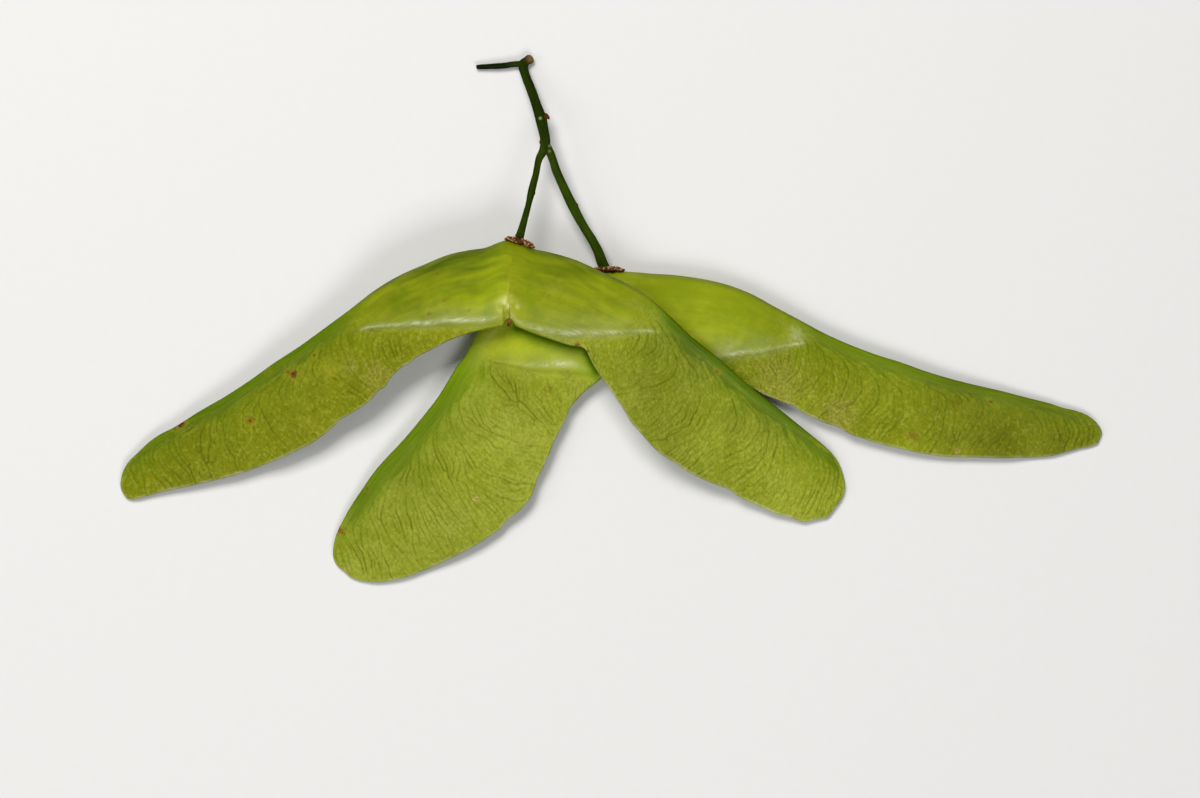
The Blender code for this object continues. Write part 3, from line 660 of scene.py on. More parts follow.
# ============================================================================
# materials
# ============================================================================
def skin_material(name, look, offset):
    """The fruit's skin: nutlet, leading edge, wing membrane, veins and marks."""
    t = Tree(name)
    pos = t.mapping(t.position(), (1, 1, 1), offset)
    st = t.attr("st", "Vector")  # mm along the samara, mm across it
    vein, nut, edge = t.attr("vein"), t.attr("nut"), t.attr("edge")
    rim, spot, cell = t.attr("rim"), t.attr("spot"), t.attr("cell")
    pale, seam, yellow = t.attr("pale"), t.attr("seam"), t.attr("yellow")
    shoulder, tan = t.attr("shoulder"), t.attr("tan")

    broad = t.noise(pos, 210, 3, 0.55)
    cloud = t.noise(pos, 560, 3, 0.6)
    grain = t.noise(pos, 4200, 3, 0.6)
    cells = t.voronoi(pos, 4300)
    fibre = t.noise(t.mapping(st, (0.22, 1.5, 1)), 1.0, 4, 0.6)
    fibre_fine = t.noise(t.mapping(st, (0.34, 6.0, 1)), 1.0, 3, 0.6)

    # wing membrane
    wing = t.mix(t.ramp(broad, 0.35, 0.68), look["wing"], look["wing_light"])
    wing = t.mix(t.ramp(cloud, 0.42, 0.72, 0, 0.55), wing, look["wing_olive"])
    # painted sparkle: lighter specks on the wing's cells stand for tiny highlights
    wing = t.mix(t.ramp(cell, 0.52, 1.0, 0, 0.34), wing, look["sparkle"])
    wing = t.mix(t.ramp(cell, 0.00, 0.50, 0.30, 0.0), wing, look["wing_deep"])
    wing = t.mix(t.ramp(grain, 0.32, 0.60, 0.40, 0.0), wing, look["wing_deep"])
    wing = t.mix(t.ramp(cells, 0.04, 0.24, 0.42, 0.0), wing, look["sparkle"])
    # leading edge's bundle of veins
    band = t.mix(t.ramp(fibre_fine, 0.30, 0.72), look["edge"], look["edge_light"])
    band = t.mix(t.ramp(grain, 0.30, 0.60, 0.25, 0.0), band, look["edge"])
    colour = t.mix(edge, wing, band)
    # nutlet
    shell = t.mix(t.ramp(fibre, 0.35, 0.68, 0, 0.75), look["nut"], look["nut_light"])
    shell = t.mix(t.ramp(cloud, 0.42, 0.68, 0, 0.72), shell, look["nut_green"])
    shell = t.mix(t.ramp(broad, 0.46, 0.68, 0, 0.65), shell, look["nut_green"])
    shell = t.mix(t.ramp(fibre_fine, 0.50, 0.80, 0, 0.28), shell, look["nut_green"])
    shell = t.mix(t.math("MULTIPLY", shoulder, t.ramp(fibre, 0.2, 0.7, 1.0, 0.7)), shell, look["nut_shoulder"])
    colour = t.mix(nut, colour, shell)
    # veins over the wing
    breaks = t.ramp(t.noise(pos, 1500, 2, 0.5), 0.25, 0.55, 0.60, 1.0)
    colour = t.mix(t.math("MULTIPLY", vein, t.math("MULTIPLY", breaks, look["vein_strength"]), clamp=True),
                   colour, look["vein"])
    colour = t.mix(yellow, colour, look["yellow"])
    # pale: the painted highlight along the nutlet's shoulder and the painted glints, plus the real cream patch at the
    # notch
    colour = t.mix(pale, colour, look["pale"])
    colour = t.mix(seam, colour, look["seam"])
    colour = t.mix(rim, colour, look["rim"])
    colour = t.mix(tan, colour, t.mix(t.ramp(grain, 0.35, 0.65), rgb(150, 112, 52), rgb(206, 186, 132)))
    brown = t.mix(t.ramp(grain, 0.38, 0.60), look["spot_dark"], look["spot"])
    colour = t.mix(spot, colour, brown)
    colour = t.mix(1.0, colour, t.attr("tone_rgb", "Color"), "MULTIPLY")
    t.put(t.shader.inputs["Base Color"], colour)

    rough = t.ramp(grain, 0.25, 0.75, 0.40, 0.58)
    rough = t.math("ADD", rough, t.math("MULTIPLY", nut, -0.05))
    rough = t.math("ADD", rough, t.math("MULTIPLY", pale, -0.22))
    rough = t.math("ADD", rough, t.math("MULTIPLY", spot, 0.25), clamp=True)
    t.put(t.shader.inputs["Roughness"], rough)
    gloss = t.math("ADD", 0.14, t.math("MULTIPLY", nut, look["specular"]))
    gloss = t.math("ADD", gloss, t.math("MULTIPLY", pale, 0.20), clamp=True)
    # the gloss is turned down inside the painted shadow band
    t.put(t.shader.inputs["Specular IOR Level"],
          t.math("MULTIPLY", gloss, t.math("SUBTRACT", 1.0, t.attr("shadow_matt")), clamp=True))

    on_wing = t.math("SUBTRACT", 1.0, t.math("MAXIMUM", nut, t.math("MULTIPLY", edge, 0.7)), clamp=True)
    fine = t.math("MULTIPLY", t.math("ADD", t.math("MULTIPLY", cells, -0.9), grain), on_wing)
    lines = t.math("MULTIPLY", fibre_fine, t.math("SUBTRACT", 1.0, on_wing))
    n = t.bump(fine, 0.00007, 0.85)
    n = t.bump(lines, 0.00005, 0.55, n)
    n = t.bump(t.math("MULTIPLY", vein, -1.0), 0.00003, 0.45, n)
    t.put(t.shader.inputs["Normal"], n)
    return t.mat


def stalk_material():
    t = Tree("stalk_skin")
    pos = t.position()
    brown, pale, red = t.attr("brown"), t.attr("pale"), t.attr("red")
    streak = t.noise(t.mapping(t.attr("st", "Vector"), (0.5, 3.4, 1)), 1.0, 4, 0.6)
    cloud = t.noise(pos, 900, 3, 0.6)
    grain = t.noise(pos, 7000, 3, 0.65)
    colour = t.mix(t.ramp(streak, 0.30, 0.70), rgb(34, 52, 1), rgb(50, 68, 3))
    colour = t.mix(t.ramp(cloud, 0.50, 0.75, 0, 0.35), colour, rgb(66, 84, 10))
    # painted shade: the stalk is made darker green where the shade mask is high
    colour = t.mix(t.attr("shade"), colour, rgb(13, 22, 2))
    bark = t.mix(t.ramp(grain, 0.35, 0.65), rgb(92, 66, 36), rgb(142, 112, 70))
    colour = t.mix(red, colour, t.mix(t.ramp(grain, 0.35, 0.65), rgb(58, 24, 10), rgb(112, 60, 30)))
    colour = t.mix(brown, colour, bark)
    colour = t.mix(pale, colour, rgb(158, 172, 112))
    t.put(t.shader.inputs["Base Color"], colour)
    t.put(t.shader.inputs["Roughness"], t.ramp(grain, 0.3, 0.7, 0.40, 0.62))
    t.shader.inputs["Specular IOR Level"].default_value = 0.07
    n = t.bump(streak, 0.00004, 0.6)
    n = t.bump(grain, 0.00002, 0.6, n)
    t.put(t.shader.inputs["Normal"], n)
    return t.mat


def crust_material(name, dark, mid, light):
    t = Tree(name)
    pos = t.position()
    lumps = t.noise(pos, 2600, 4, 0.65)
    grain = t.noise(pos, 9000, 3, 0.6)
    cracks = t.voronoi(pos, 3800, "DISTANCE_TO_EDGE")
    colour = t.mix(t.ramp(lumps, 0.34, 0.60), dark, mid)
    colour = t.mix(t.ramp(grain, 0.55, 0.75, 0, 0.9), colour, light)
    colour = t.mix(t.ramp(cracks, 0.0, 0.10, 0.75, 0.0), colour, dark)
    colour = t.mix(t.ramp(t.attr("chip"), 0.62, 0.90, 0, 0.85), colour, light)
    t.put(t.shader.inputs["Base Color"], colour)
    t.put(t.shader.inputs["Roughness"], t.ramp(lumps, 0.3, 0.7, 0.62, 0.90))
    t.shader.inputs["Specular IOR Level"].default_value = 0.3
    n = t.bump(lumps, 0.00010, 0.8)
    n = t.bump(grain, 0.00004, 0.8, n)
    t.put(t.shader.inputs["Normal"], n)
    return t.mat


# ============================================================================
# meshes
# ============================================================================
def add_mesh(name, verts, loops, sizes, mat, attrs=(), uvs=None):
    """A mesh from arrays: loops is the flat list of corner vertices, sizes the face sizes."""
    mesh = bpy.data.meshes.new(name)
    mesh.vertices.add(len(verts))
    mesh.vertices.foreach_set("co", (np.asarray(verts, np.float64) * MM).astype(np.float32).ravel())
    mesh.loops.add(len(loops))
    mesh.loops.foreach_set("vertex_index", np.asarray(loops, np.int32))
    starts = np.concatenate([[0], np.cumsum(sizes)[:-1]]).astype(np.int32)
    mesh.polygons.add(len(sizes))
    mesh.polygons.foreach_set("loop_start", starts)
    mesh.update(calc_edges=True)
    mesh.validate()
    for key, values in dict(attrs).items():
        values = np.asarray(values, np.float32)
        if not np.isfinite(values).all():
            raise ValueError(f"{name}: {key} isn't finite")
        if values.ndim == 1:
            layer = mesh.attributes.new(key, "FLOAT", "POINT")
            layer.data.foreach_set("value", values)
        elif key.endswith("rgb"):
            layer = mesh.attributes.new(key, "FLOAT_COLOR", "POINT")
            four = np.concatenate([values, np.ones((len(values), 1), np.float32)], 1)
            layer.data.foreach_set("color", four.ravel())
        else:
            layer = mesh.attributes.new(key, "FLOAT_VECTOR", "POINT")
            layer.data.foreach_set("vector", values.ravel())
    if uvs is not None:
        layer = mesh.uv_layers.new(name="OFBake")
        layer.data.foreach_set("uv", np.asarray(uvs, np.float32).ravel())
    mesh.shade_smooth()
    mesh.materials.append(mat)
    obj = bpy.data.objects.new(name, mesh)
    bpy.context.scene.collection.objects.link(obj)
    return obj


def samara_mesh(name, spec, side, seed, mat, look):
    shape = Samara(spec, side, seed)
    rng = np.random.default_rng(seed)
    field = Field(shape)
    for xy, s, kind in vein_curves(shape, rng, look["far"]):
        field.line(xy, s, kind == 1)
    sharp = blur(field.grid, 2.4) * (2.4 * math.sqrt(2 * math.pi))
    broad = blur(field.grid, 6.5) * (6.5 * math.sqrt(2 * math.pi))
    green = blur(field.green, 8.0) * (8.0 * math.sqrt(2 * math.pi))

    u = np.linspace(0, 1, NU + 1)
    u = u + 0.0  # even along the length
    ends = 0.5 * (1 - np.cos(np.linspace(0, math.pi, NV + 1)))
    v = 0.80 * np.linspace(0, 1, NV + 1) + 0.20 * ends
    U, V = np.meshgrid(u, v, indexing="ij")
    p = shape.parts(U, V)
    xy = shape.plan(U, V)
    X, Y = xy[..., 0], xy[..., 1]
    s_mm, t_mm = p["d_seam"], p["d_lead"]

    outer = 1 - ease((U - 0.27) / 0.19)
    nut_on = outer * ease((1.10 - p["w"] + 0.03 * lattice(s_mm / 1.3, t_mm * 0, seed + 9)) / 0.20)
    wing_on = 1 - nut_on
    inner = ease(p["d_trail"] / 0.35) * ease(p["d_lead"] / 0.3) * ease(p["d_tip"] / 0.4)
    vein = np.clip(field.look(sharp, xy), 0, 1.4) * wing_on
    groove = np.clip(field.look(broad, xy), 0, 1.6) * wing_on * inner
    edge_on = (1 - ease((p["d_lead"] - look["edge_from"] * (1 - 0.35 * U)) / look["edge_soft"]))
    edge_on = edge_on * ease((U - look["edge_start"]) / 0.26) * (1 - 0.55 * ease((U - 0.86) / 0.12))
    tail = (1 - ease((p["d_lead"] - 0.6) / (0.70 * p["width"]))) * ease((U - 0.04 - look["edge_start"]) / 0.2)
    tail = tail * np.clip(0.85 + 0.5 * lattice(X / 1.6, Y / 1.6, seed + 58, 2), 0.3, 1.3)
    edge_on = np.maximum(edge_on, look["tail"] * tail)
    fingers = np.clip(field.look(green, xy), 0, 1.2) * wing_on * ease((U - 0.30) / 0.12)
    edge_on = np.maximum(edge_on, look["fingers"] * fingers)

    half = shape.half(U, V, p)
    mid = shape.mid(U, V)
    # the wing's own unevenness: broad waves that grow towards its free edge
    wave = 0.075 * lattice(X / 3.6, Y / 3.6, seed + 11, 2) * ease((V - p["foot"]) / 0.5)
    wave += 0.07 * lattice(s_mm / 2.6, t_mm * 0 + 3.3, seed + 12) * ease((V - 0.72) / 0.28)
    wave *= ease((U - 0.06) / 0.1)
    mid = mid + wave * ease(p["d_tip"] / 2.0)
    # fine relief
    puff = 0.026 * (0.75 - groove) * inner * wing_on * (1 - 0.7 * edge_on)
    cell = lattice(X / 0.24, Y / 0.24, seed + 13, 2)
    pebble = 0.013 * cell * inner * wing_on * (1 - 0.8 * edge_on)
    fibres = 0.012 * lattice(s_mm / 5.0, t_mm / 0.30, seed + 14, 2) * inner * np.maximum(edge_on, 0.45 * nut_on)
    swell = 0.045 * lattice(s_mm / 4.0, t_mm / 1.9, seed + 15, 2) * nut_on * inner * ease(s_mm / 2.5)
    line = outer * ease((U - 0.02) / 0.05)
    rib = 0.050 * np.exp(-(((p["w"] - 0.945) / 0.045) ** 2)) * line
    relief = puff + pebble + fibres + swell
    top = mid + half + (relief + rib) * ease(half / 0.08)
    bottom = mid - half - 0.8 * relief * ease(half / 0.08)
    lift = np.maximum(0.012 - bottom, 0)
    bottom = bottom + lift
    top = np.maximum(top, bottom + 0.02 * ease(half / 0.05))
    edge_mid = np.maximum(mid, 0.03)
    on_rim = half < 1e-6
    top[on_rim] = edge_mid[on_rim]

    nu, nv = NU, NV
    index = np.arange((nu + 1) * (nv + 1)).reshape(nu + 1, nv + 1)
    verts = [np.stack([X, Y, top], -1).reshape(-1, 3)]
    rows = list(range(0, nv, UNDER)) + [nv]
    m = len(rows) - 1
    under = np.full((nu + 1, m + 1), -1)
    under[:, 0], under[:, m] = index[:, 0], index[:, nv]
    under[nu, :] = index[nu, rows]
    inner_rows = rows[1:-1]
    count = index.size
    block = np.arange(nu * (m - 1)).reshape(nu, m - 1) + count
    under[:nu, 1:m] = block
    verts.append(
        np.stack([X[:nu][:, inner_rows], Y[:nu][:, inner_rows], bottom[:nu][:, inner_rows]], -1).reshape(-1, 3)
    )
    verts = np.vstack(verts)

    def pick(a):
        return np.concatenate([a.reshape(-1), a[:nu][:, inner_rows].reshape(-1)])

    # UV: upper side in one island, underside in a second, the seam's wall in a strip
    uv_u = 0.022 + 0.970 * U
    uv_top = np.stack([uv_u, 0.385 + 0.605 * V], -1)
    uv_low = np.stack([uv_u[:, rows], 0.365 - 0.350 * V[:, rows]], -1)

    faces, sizes, uvs = [], [], []

    def quads(grid, uv, flip):
        a, b, c, d = grid[:-1, :-1], grid[1:, :-1], grid[1:, 1:], grid[:-1, 1:]
        ua, ub, uc, ud = uv[:-1, :-1], uv[1:, :-1], uv[1:, 1:], uv[:-1, 1:]
        order = [a, b, c, d] if flip else [a, d, c, b]
        uorder = [ua, ub, uc, ud] if flip else [ua, ud, uc, ub]
        faces.append(np.stack(order, -1).reshape(-1))
        uvs.append(np.stack(uorder, -2).reshape(-1, 2))
        sizes.append(np.full(a.size, 4))

    # the outline runs one way on a left samara and the other way on a right one
    flip = side < 0
    quads(index, uv_top, flip)
    quads(under[:nu], uv_low[:nu], not flip)
    # last strip of the underside and the seam's wall: fans between unequal rows
    def fan(poly, puv, turn):
        if turn:
            poly, puv = poly[::-1], puv[::-1]
        faces.append(np.array(poly))
        uvs.append(np.array(puv))
        sizes.append(np.array([len(poly)]))

    for k in range(m):
        j0, j1 = rows[k], rows[k + 1]
        tip_ids = [index[nu, j] for j in range(j0, j1 + 1)]
        tip_uv = [(uv_u[nu, 0], 0.365 - 0.350 * V[nu, j]) for j in range(j0, j1 + 1)]
        for q in range(len(tip_ids) - 1):
            if q == 0:
                fan([under[nu - 1, k], under[nu - 1, k + 1], tip_ids[1], tip_ids[0]],
                    [tuple(uv_low[nu - 1, k]), tuple(uv_low[nu - 1, k + 1]), tip_uv[1], tip_uv[0]], not flip)
            else:
                fan([under[nu - 1, k + 1], tip_ids[q + 1], tip_ids[q]],
                    [tuple(uv_low[nu - 1, k + 1]), tip_uv[q + 1], tip_uv[q]], not flip)
    for k in range(m):
        j0, j1 = rows[k], rows[k + 1]
        top_ids = [index[0, j] for j in range(j0, j1 + 1)]
        top_uv = [(0.004, 0.01 + 0.98 * V[0, j]) for j in range(j0, j1 + 1)]
        low = [under[0, k], under[0, k + 1]]
        low_uv = [(0.014, 0.01 + 0.98 * V[0, rows[k]]), (0.014, 0.01 + 0.98 * V[0, rows[k + 1]])]
        if k == 0:
            for q in range(len(top_ids) - 1):
                fan([low[1], top_ids[q], top_ids[q + 1]], [low_uv[1], top_uv[q], top_uv[q + 1]], not flip)
        elif k == m - 1:
            for q in range(len(top_ids) - 1):
                fan([low[0], top_ids[q], top_ids[q + 1]], [low_uv[0], top_uv[q], top_uv[q + 1]], not flip)
        else:
            fan([low[0], top_ids[0], top_ids[1]], [low_uv[0], top_uv[0], top_uv[1]], not flip)
            fan([low[0], top_ids[1], low[1]], [low_uv[0], top_uv[1], low_uv[1]], not flip)
            for q in range(1, len(top_ids) - 1):
                fan([low[1], top_ids[q], top_ids[q + 1]], [low_uv[1], top_uv[q], top_uv[q + 1]], not flip)

    # ---- painted fields ----
    def disc(x, y, r, power=2.0):
        wob = np.clip(1 + 0.45 * lattice(X / 0.26 + 9, Y / 0.26, seed + 31, 2), 0.35, 1.8)
        return np.exp(-(((X - x) ** 2 + (Y - y) ** 2) / (r * wob) ** 2) ** power)

    spot, pale, yellow = np.zeros_like(U), np.zeros_like(U), np.zeros_like(U)
    for x, y, r, a in look["spots"]:
        spot = np.maximum(spot, a * disc(x, y, 1.6 * r))
    for x, y, r, a in look.get("rings", ()):
        d = np.hypot(X - x, Y - y)
        spot = np.maximum(spot, a * np.exp(-(((d - r) / 0.11) ** 2)))
        spot = np.maximum(spot, 0.6 * a * np.exp(-((d / 0.12) ** 2)))
    for x, y, r, a in look["spots"]:
        yellow = np.maximum(yellow, 0.45 * a * disc(x, y, 2.6 * r, 1.0))
    tan = np.zeros_like(U)
    for x, y, r, a in look.get("pales", ()):
        tan = np.maximum(tan, a * disc(x, y, r))
    for x, y, r, a in look.get("yellows", ()):
        yellow = np.maximum(yellow, a * disc(x, y, r, 1.0))
    ragged = 0.5 + 0.5 * lattice(s_mm / 1.1, t_mm * 0 + 1.7, seed + 41, 2)
    rim_w = 0.10 + 0.10 * np.clip(ragged, 0, 1)
    rim = np.exp(-((p["d_trail"] / rim_w) ** 2)) * ease((U - 0.10) / 0.15) * (0.30 + 0.75 * np.clip(ragged, 0, 1))
    rim = np.maximum(rim, 0.7 * np.exp(-((p["d_tip"] / 0.16) ** 2)) * ease((V - 0.3) / 0.5))
    rim = np.clip(rim, 0, 1) * 0.62
    # a soft pale painted highlight along the nutlet's lower shoulder; the same mask also makes the skin there a little
    # glossier
    bend = 0.012 * lattice(s_mm / 2.0, t_mm * 0 + 2.2, seed + 50)
    off = (p["w"] - look["crest_highlight_at"] + bend) / 0.031
    crest_highlight = np.exp(-(off**2))
    comb = 0.62 + 0.80 * lattice(s_mm / 0.55, t_mm / 0.13, seed + 51, 3)
    comb = comb * (0.80 + 0.50 * lattice(s_mm / 1.3, t_mm * 0 + 4.1, seed + 56, 2))
    crest_highlight = crest_highlight * np.clip(comb, 0, 1.2) + 0.22 * np.exp(-((off / 2.4) ** 2))
    crest_highlight = crest_highlight * np.clip(smooth_table(look["crest_highlight"], U), 0, 1)
    pale = np.maximum(pale, 0.88 * np.clip(crest_highlight, 0, 1))
    # glints: painted highlight spots, added to the pale mask
    for x, y, r, a in look.get("glints", ()):
        pale = np.maximum(pale, a * disc(x, y, r, 1.0))
    seam = np.exp(-((p["d_seam"] / 0.085) ** 2)) * (0.03 + 0.85 * ease((V - 0.80) / 0.13))
    seam = seam * np.clip(0.75 + 0.4 * lattice(t_mm / 0.8, t_mm * 0, seed + 52), 0, 1.2)
    foot_x, foot_y = spec["seam"][2]
    ragged_patch = 1 + 0.25 * lattice(X / 0.7, Y / 0.7, seed + 55, 2)
    near = ((X - foot_x) / 1.15) ** 2 + ((Y - foot_y - 1.15) / 1.25) ** 2
    mottle = np.clip(0.55 + 0.6 * lattice(X / 0.42, Y / 0.55, seed + 57, 2), 0, 1)
    yellow = np.maximum(yellow, 0.80 * np.exp(-((near * ragged_patch) ** 1.3)) * (0.35 + 0.65 * mottle) * look["cream"])
    yellow = np.maximum(yellow, 0.22 * np.exp(-((p["d_seam"] / 0.16) ** 2)) * ease((V - 0.25) / 0.3))
    pale = np.maximum(pale, 0.46 * np.exp(-((near * ragged_patch * 1.3) ** 2)) * mottle**2 * look["cream"])
    warm_band = np.exp(-((p["d_seam"] / 1.3) ** 2)) * (1 - ease((V - 0.55) / 0.3))
    shoulder = (1 - ease((p["w"] - 0.05) / look["shoulder"])) * nut_on * (0.65 + 0.35 * ease((U - 0.01) / 0.09))
    shoulder = shoulder * np.clip(0.75 + 0.4 * lattice(s_mm / 3.5, t_mm / 0.8, seed + 53, 2), 0, 1)
    tone = smooth_table(look["tone"], U)
    tone = tone * (1 + 0.05 * lattice(X / 5.0, Y / 5.0, seed + 54, 2)) * (1 - 0.03 * warm_band)
    for x, y, r, a in look.get("clouds", ()):  # patches a little lighter or darker
        tone = tone * (1 + a * np.exp(-((X - x) ** 2 + (Y - y) ** 2) / r**2))
    # painted shadow: a darker, greener band on this nutlet along the edge of the front pair that lies over it, with a
    # wider faint veil; the gloss is turned down there as well
    if look.get("under"):
        over = smooth_curve(look["under"], 8)[0]
        d = np.full(U.shape, 9.0)
        for q in over:
            d = np.minimum(d, np.hypot(X - q[0], Y - q[1]))
        shade, shadow_veil = np.exp(-((d / 0.50) ** 2)), np.exp(-((d / 1.1) ** 2))
    warm = smooth_table(look.get("warm", [(0, 0), (1, 0)]), U)
    tone_rgb = np.stack([tone * (1 + 0.05 * warm), tone, tone * (1 + 0.20 * warm)], -1)
    shadow_matt = np.zeros_like(U)
    if look.get("under"):
        shadow_deep = 1 - shade[..., None] * np.array([0.80, 0.68, 0.97])
        shadow_matt = np.clip(1.2 * np.maximum(shade, 0.5 * shadow_veil), 0, 1)
        tone_rgb = tone_rgb * shadow_deep * (1 - shadow_veil[..., None] * np.array([0.12, -0.03, 0.45]))

    attrs = {
        "vein": pick(np.clip(vein * (1 - 0.60 * np.clip(edge_on, 0, 1) ** 1.5), 0, 1.2)), "nut": pick(nut_on), "edge": pick(edge_on * wing_on),
        "rim": pick(rim), "tone": pick(tone), "spot": pick(np.clip(spot, 0, 1)),
        "pale": pick(np.clip(pale, 0, 1)), "yellow": pick(np.clip(yellow, 0, 1)),
        "seam": pick(np.clip(seam, 0, 1)), "shoulder": pick(np.clip(shoulder, 0, 1)),
        "cell": pick(0.5 + 0.5 * cell), "shadow_matt": pick(shadow_matt), "tan": pick(np.clip(tan, 0, 1)),
        "st": np.stack([pick(s_mm + 37.0 * seed), pick(t_mm), np.zeros(len(verts))], -1),
        "tone_rgb": np.stack([pick(tone_rgb[..., k]) for k in range(3)], -1),
    }
    obj = add_mesh(name, verts, np.concatenate(faces), np.concatenate(sizes), mat, attrs, np.vstack(uvs))
    # the skin's shading doesn't turn the corner into the wall at the seam
    wall = np.zeros(len(verts), bool)
    wall[index[0, :]] = True
    wall[under[0, :]] = True
    ends = np.empty(2 * len(obj.data.edges), np.int32)
    obj.data.edges.foreach_get("vertices", ends)
    ends = ends.reshape(-1, 2)
    obj.data.edges.foreach_set("use_edge_sharp", wall[ends[:, 0]] & wall[ends[:, 1]])
    return obj, shape


# ---- lumps grown together: stalk, calyx, style --------------------------------
def tube_bm(bm, points, sides, step):
    curve, _ = smooth_curve(points, 12)
    length = np.linalg.norm(np.diff(curve[:, :3], axis=0), axis=1).sum()
    rings = even(curve, np.linspace(0, 1, max(6, int(round(length / step))) + 1))
    centre, radius = rings[:, :3], rings[:, 3]
    along = np.gradient(centre, axis=0)
    along /= np.linalg.norm(along, axis=1)[:, None]
    loops = []
    for c, r, d in zip(centre, radius, along):
        across = np.cross((0.0, 0.0, 1.0), d)
        across /= np.linalg.norm(across)
        other = np.cross(d, across)
        ang = np.arange(sides) * 2 * math.pi / sides
        loops.append([bm.verts.new(c + r * (math.cos(a) * across + math.sin(a) * other)) for a in ang])
    for one, two in zip(loops, loops[1:]):
        for k in range(sides):
            n = (k + 1) % sides
            bm.faces.new((one[k], one[n], two[n], two[k]))
    bm.faces.new(loops[0][::-1])
    bm.faces.new(loops[-1])
    return curve


def ball_bm(bm, centre, radii, turn=0.0):
    made = bmesh.ops.create_icosphere(bm, subdivisions=3, radius=1.0)["verts"]
    ct, stn = math.cos(turn), math.sin(turn)
    for vert in made:
        x, y, z = vert.co.x * radii[0], vert.co.y * radii[1], vert.co.z * radii[2]
        vert.co = (centre[0] + x * ct - y * stn, centre[1] + x * stn + y * ct, centre[2] + z)


def remesh(name, bm, voxel, smooth=4):
    """One closed skin over everything in the bmesh (in mm), as (verts, faces)."""
    mesh = bpy.data.meshes.new(name + "_form")
    bmesh.ops.recalc_face_normals(bm, faces=bm.faces)
    bm.to_mesh(mesh)
    bm.free()
    obj = bpy.data.objects.new(name + "_form", mesh)
    bpy.context.scene.collection.objects.link(obj)
    mod = obj.modifiers.new("skin", "REMESH")
    mod.mode, mod.voxel_size, mod.adaptivity = "VOXEL", voxel, 0.0
    graph = bpy.context.evaluated_depsgraph_get()
    done = obj.evaluated_get(graph).to_mesh()
    n = len(done.vertices)
    verts = np.empty(n * 3, np.float32)
    done.vertices.foreach_get("co", verts)
    verts = verts.reshape(-1, 3).astype(float)
    quads = np.empty(len(done.loops), np.int32)
    done.loops.foreach_get("vertex_index", quads)
    totals = np.empty(len(done.polygons), np.int32)
    done.polygons.foreach_get("loop_total", totals)
    edges = np.empty(len(done.edges) * 2, np.int32)
    done.edges.foreach_get("vertices", edges)
    edges = edges.reshape(-1, 2)
    obj.evaluated_get(graph).to_mesh_clear()
    bpy.data.objects.remove(obj, do_unlink=True)
    degree = np.bincount(edges.ravel(), minlength=n).astype(float)[:, None]
    for _ in range(smooth):
        for weight in (0.55, -0.57):
            total = np.zeros_like(verts)
            np.add.at(total, edges[:, 0], verts[edges[:, 1]])
            np.add.at(total, edges[:, 1], verts[edges[:, 0]])
            verts = verts + weight * (total / degree - verts)
    return verts, quads, totals, edges


def vertex_normals(verts, loops, sizes):
    starts = np.concatenate([[0], np.cumsum(sizes)[:-1]])
    out = np.zeros_like(verts)
    quad = sizes == 4
    a = loops[starts]
    b = loops[starts + 1]
    c = loops[starts + 2]
    d = loops[starts + np.where(quad, 3, 2)]
    n = np.cross(verts[c] - verts[a], verts[d] - verts[b])
    for corner in (a, b, c, d):
        np.add.at(out, corner, n)
    return out / np.maximum(np.linalg.norm(out, axis=1), 1e-12)[:, None]


def solid_noise(p, scale, seed, octaves=3):
    """Smooth 3-D noise from three crossed plane noises."""
    q = p / scale
    return (
        lattice(q[:, 0] + 0.37 * q[:, 2], q[:, 1] - 0.21 * q[:, 2], seed, octaves)
        + lattice(q[:, 1] + 0.37 * q[:, 0], q[:, 2] - 0.21 * q[:, 0], seed + 1, octaves)
        + lattice(q[:, 2] + 0.37 * q[:, 1], q[:, 0] - 0.21 * q[:, 1], seed + 2, octaves)
    ) / 2.0


PEDUNCLE_AND_LEFT_PEDICEL = [
    (-7.98, 24.50, 0.48, 0.40), (-8.36, 24.12, 0.56, 0.44), (-8.14, 23.08, 0.88, 0.41),
    (-7.57, 21.62, 1.34, 0.45), (-7.08, 20.17, 1.78, 0.46), (-6.72, 19.14, 2.08, 0.53),
    (-6.51, 18.14, 2.38, 0.50), (-6.29, 17.12, 2.68, 0.46), (-6.26, 16.39, 2.90, 0.47),
    (-6.44, 15.82, 3.05, 0.40), (-6.82, 15.08, 3.24, 0.33), (-7.12, 13.63, 3.60, 0.32),
    (-7.53, 12.02, 3.98, 0.35), (-7.81, 10.78, 4.24, 0.30), (-8.19, 9.36, 4.52, 0.32),
    (-8.56, 8.02, 4.74, 0.39),
]
RIGHT_PEDICEL = [
    (-6.28, 16.50, 2.86, 0.40), (-5.91, 15.91, 2.84, 0.41), (-5.55, 15.08, 2.74, 0.39),
    (-5.25, 14.11, 2.60, 0.40), (-4.68, 12.78, 2.38, 0.41), (-3.63, 10.59, 2.06, 0.47),
    (-2.73, 8.88, 1.86, 0.42), (-1.83, 7.46, 1.72, 0.43), (-1.24, 6.30, 1.62, 0.46),
    (-0.90, 5.32, 1.55, 0.51),
]
SIDE_BRANCH = [
    (-12.80, 23.87, 0.32, 0.20), (-11.71, 23.91, 0.38, 0.25), (-10.26, 24.00, 0.45, 0.27),
    (-9.17, 24.15, 0.52, 0.27), (-8.40, 24.18, 0.56, 0.28),
]
CUT_END = (-7.79, 24.60, 0.48, 0.47)


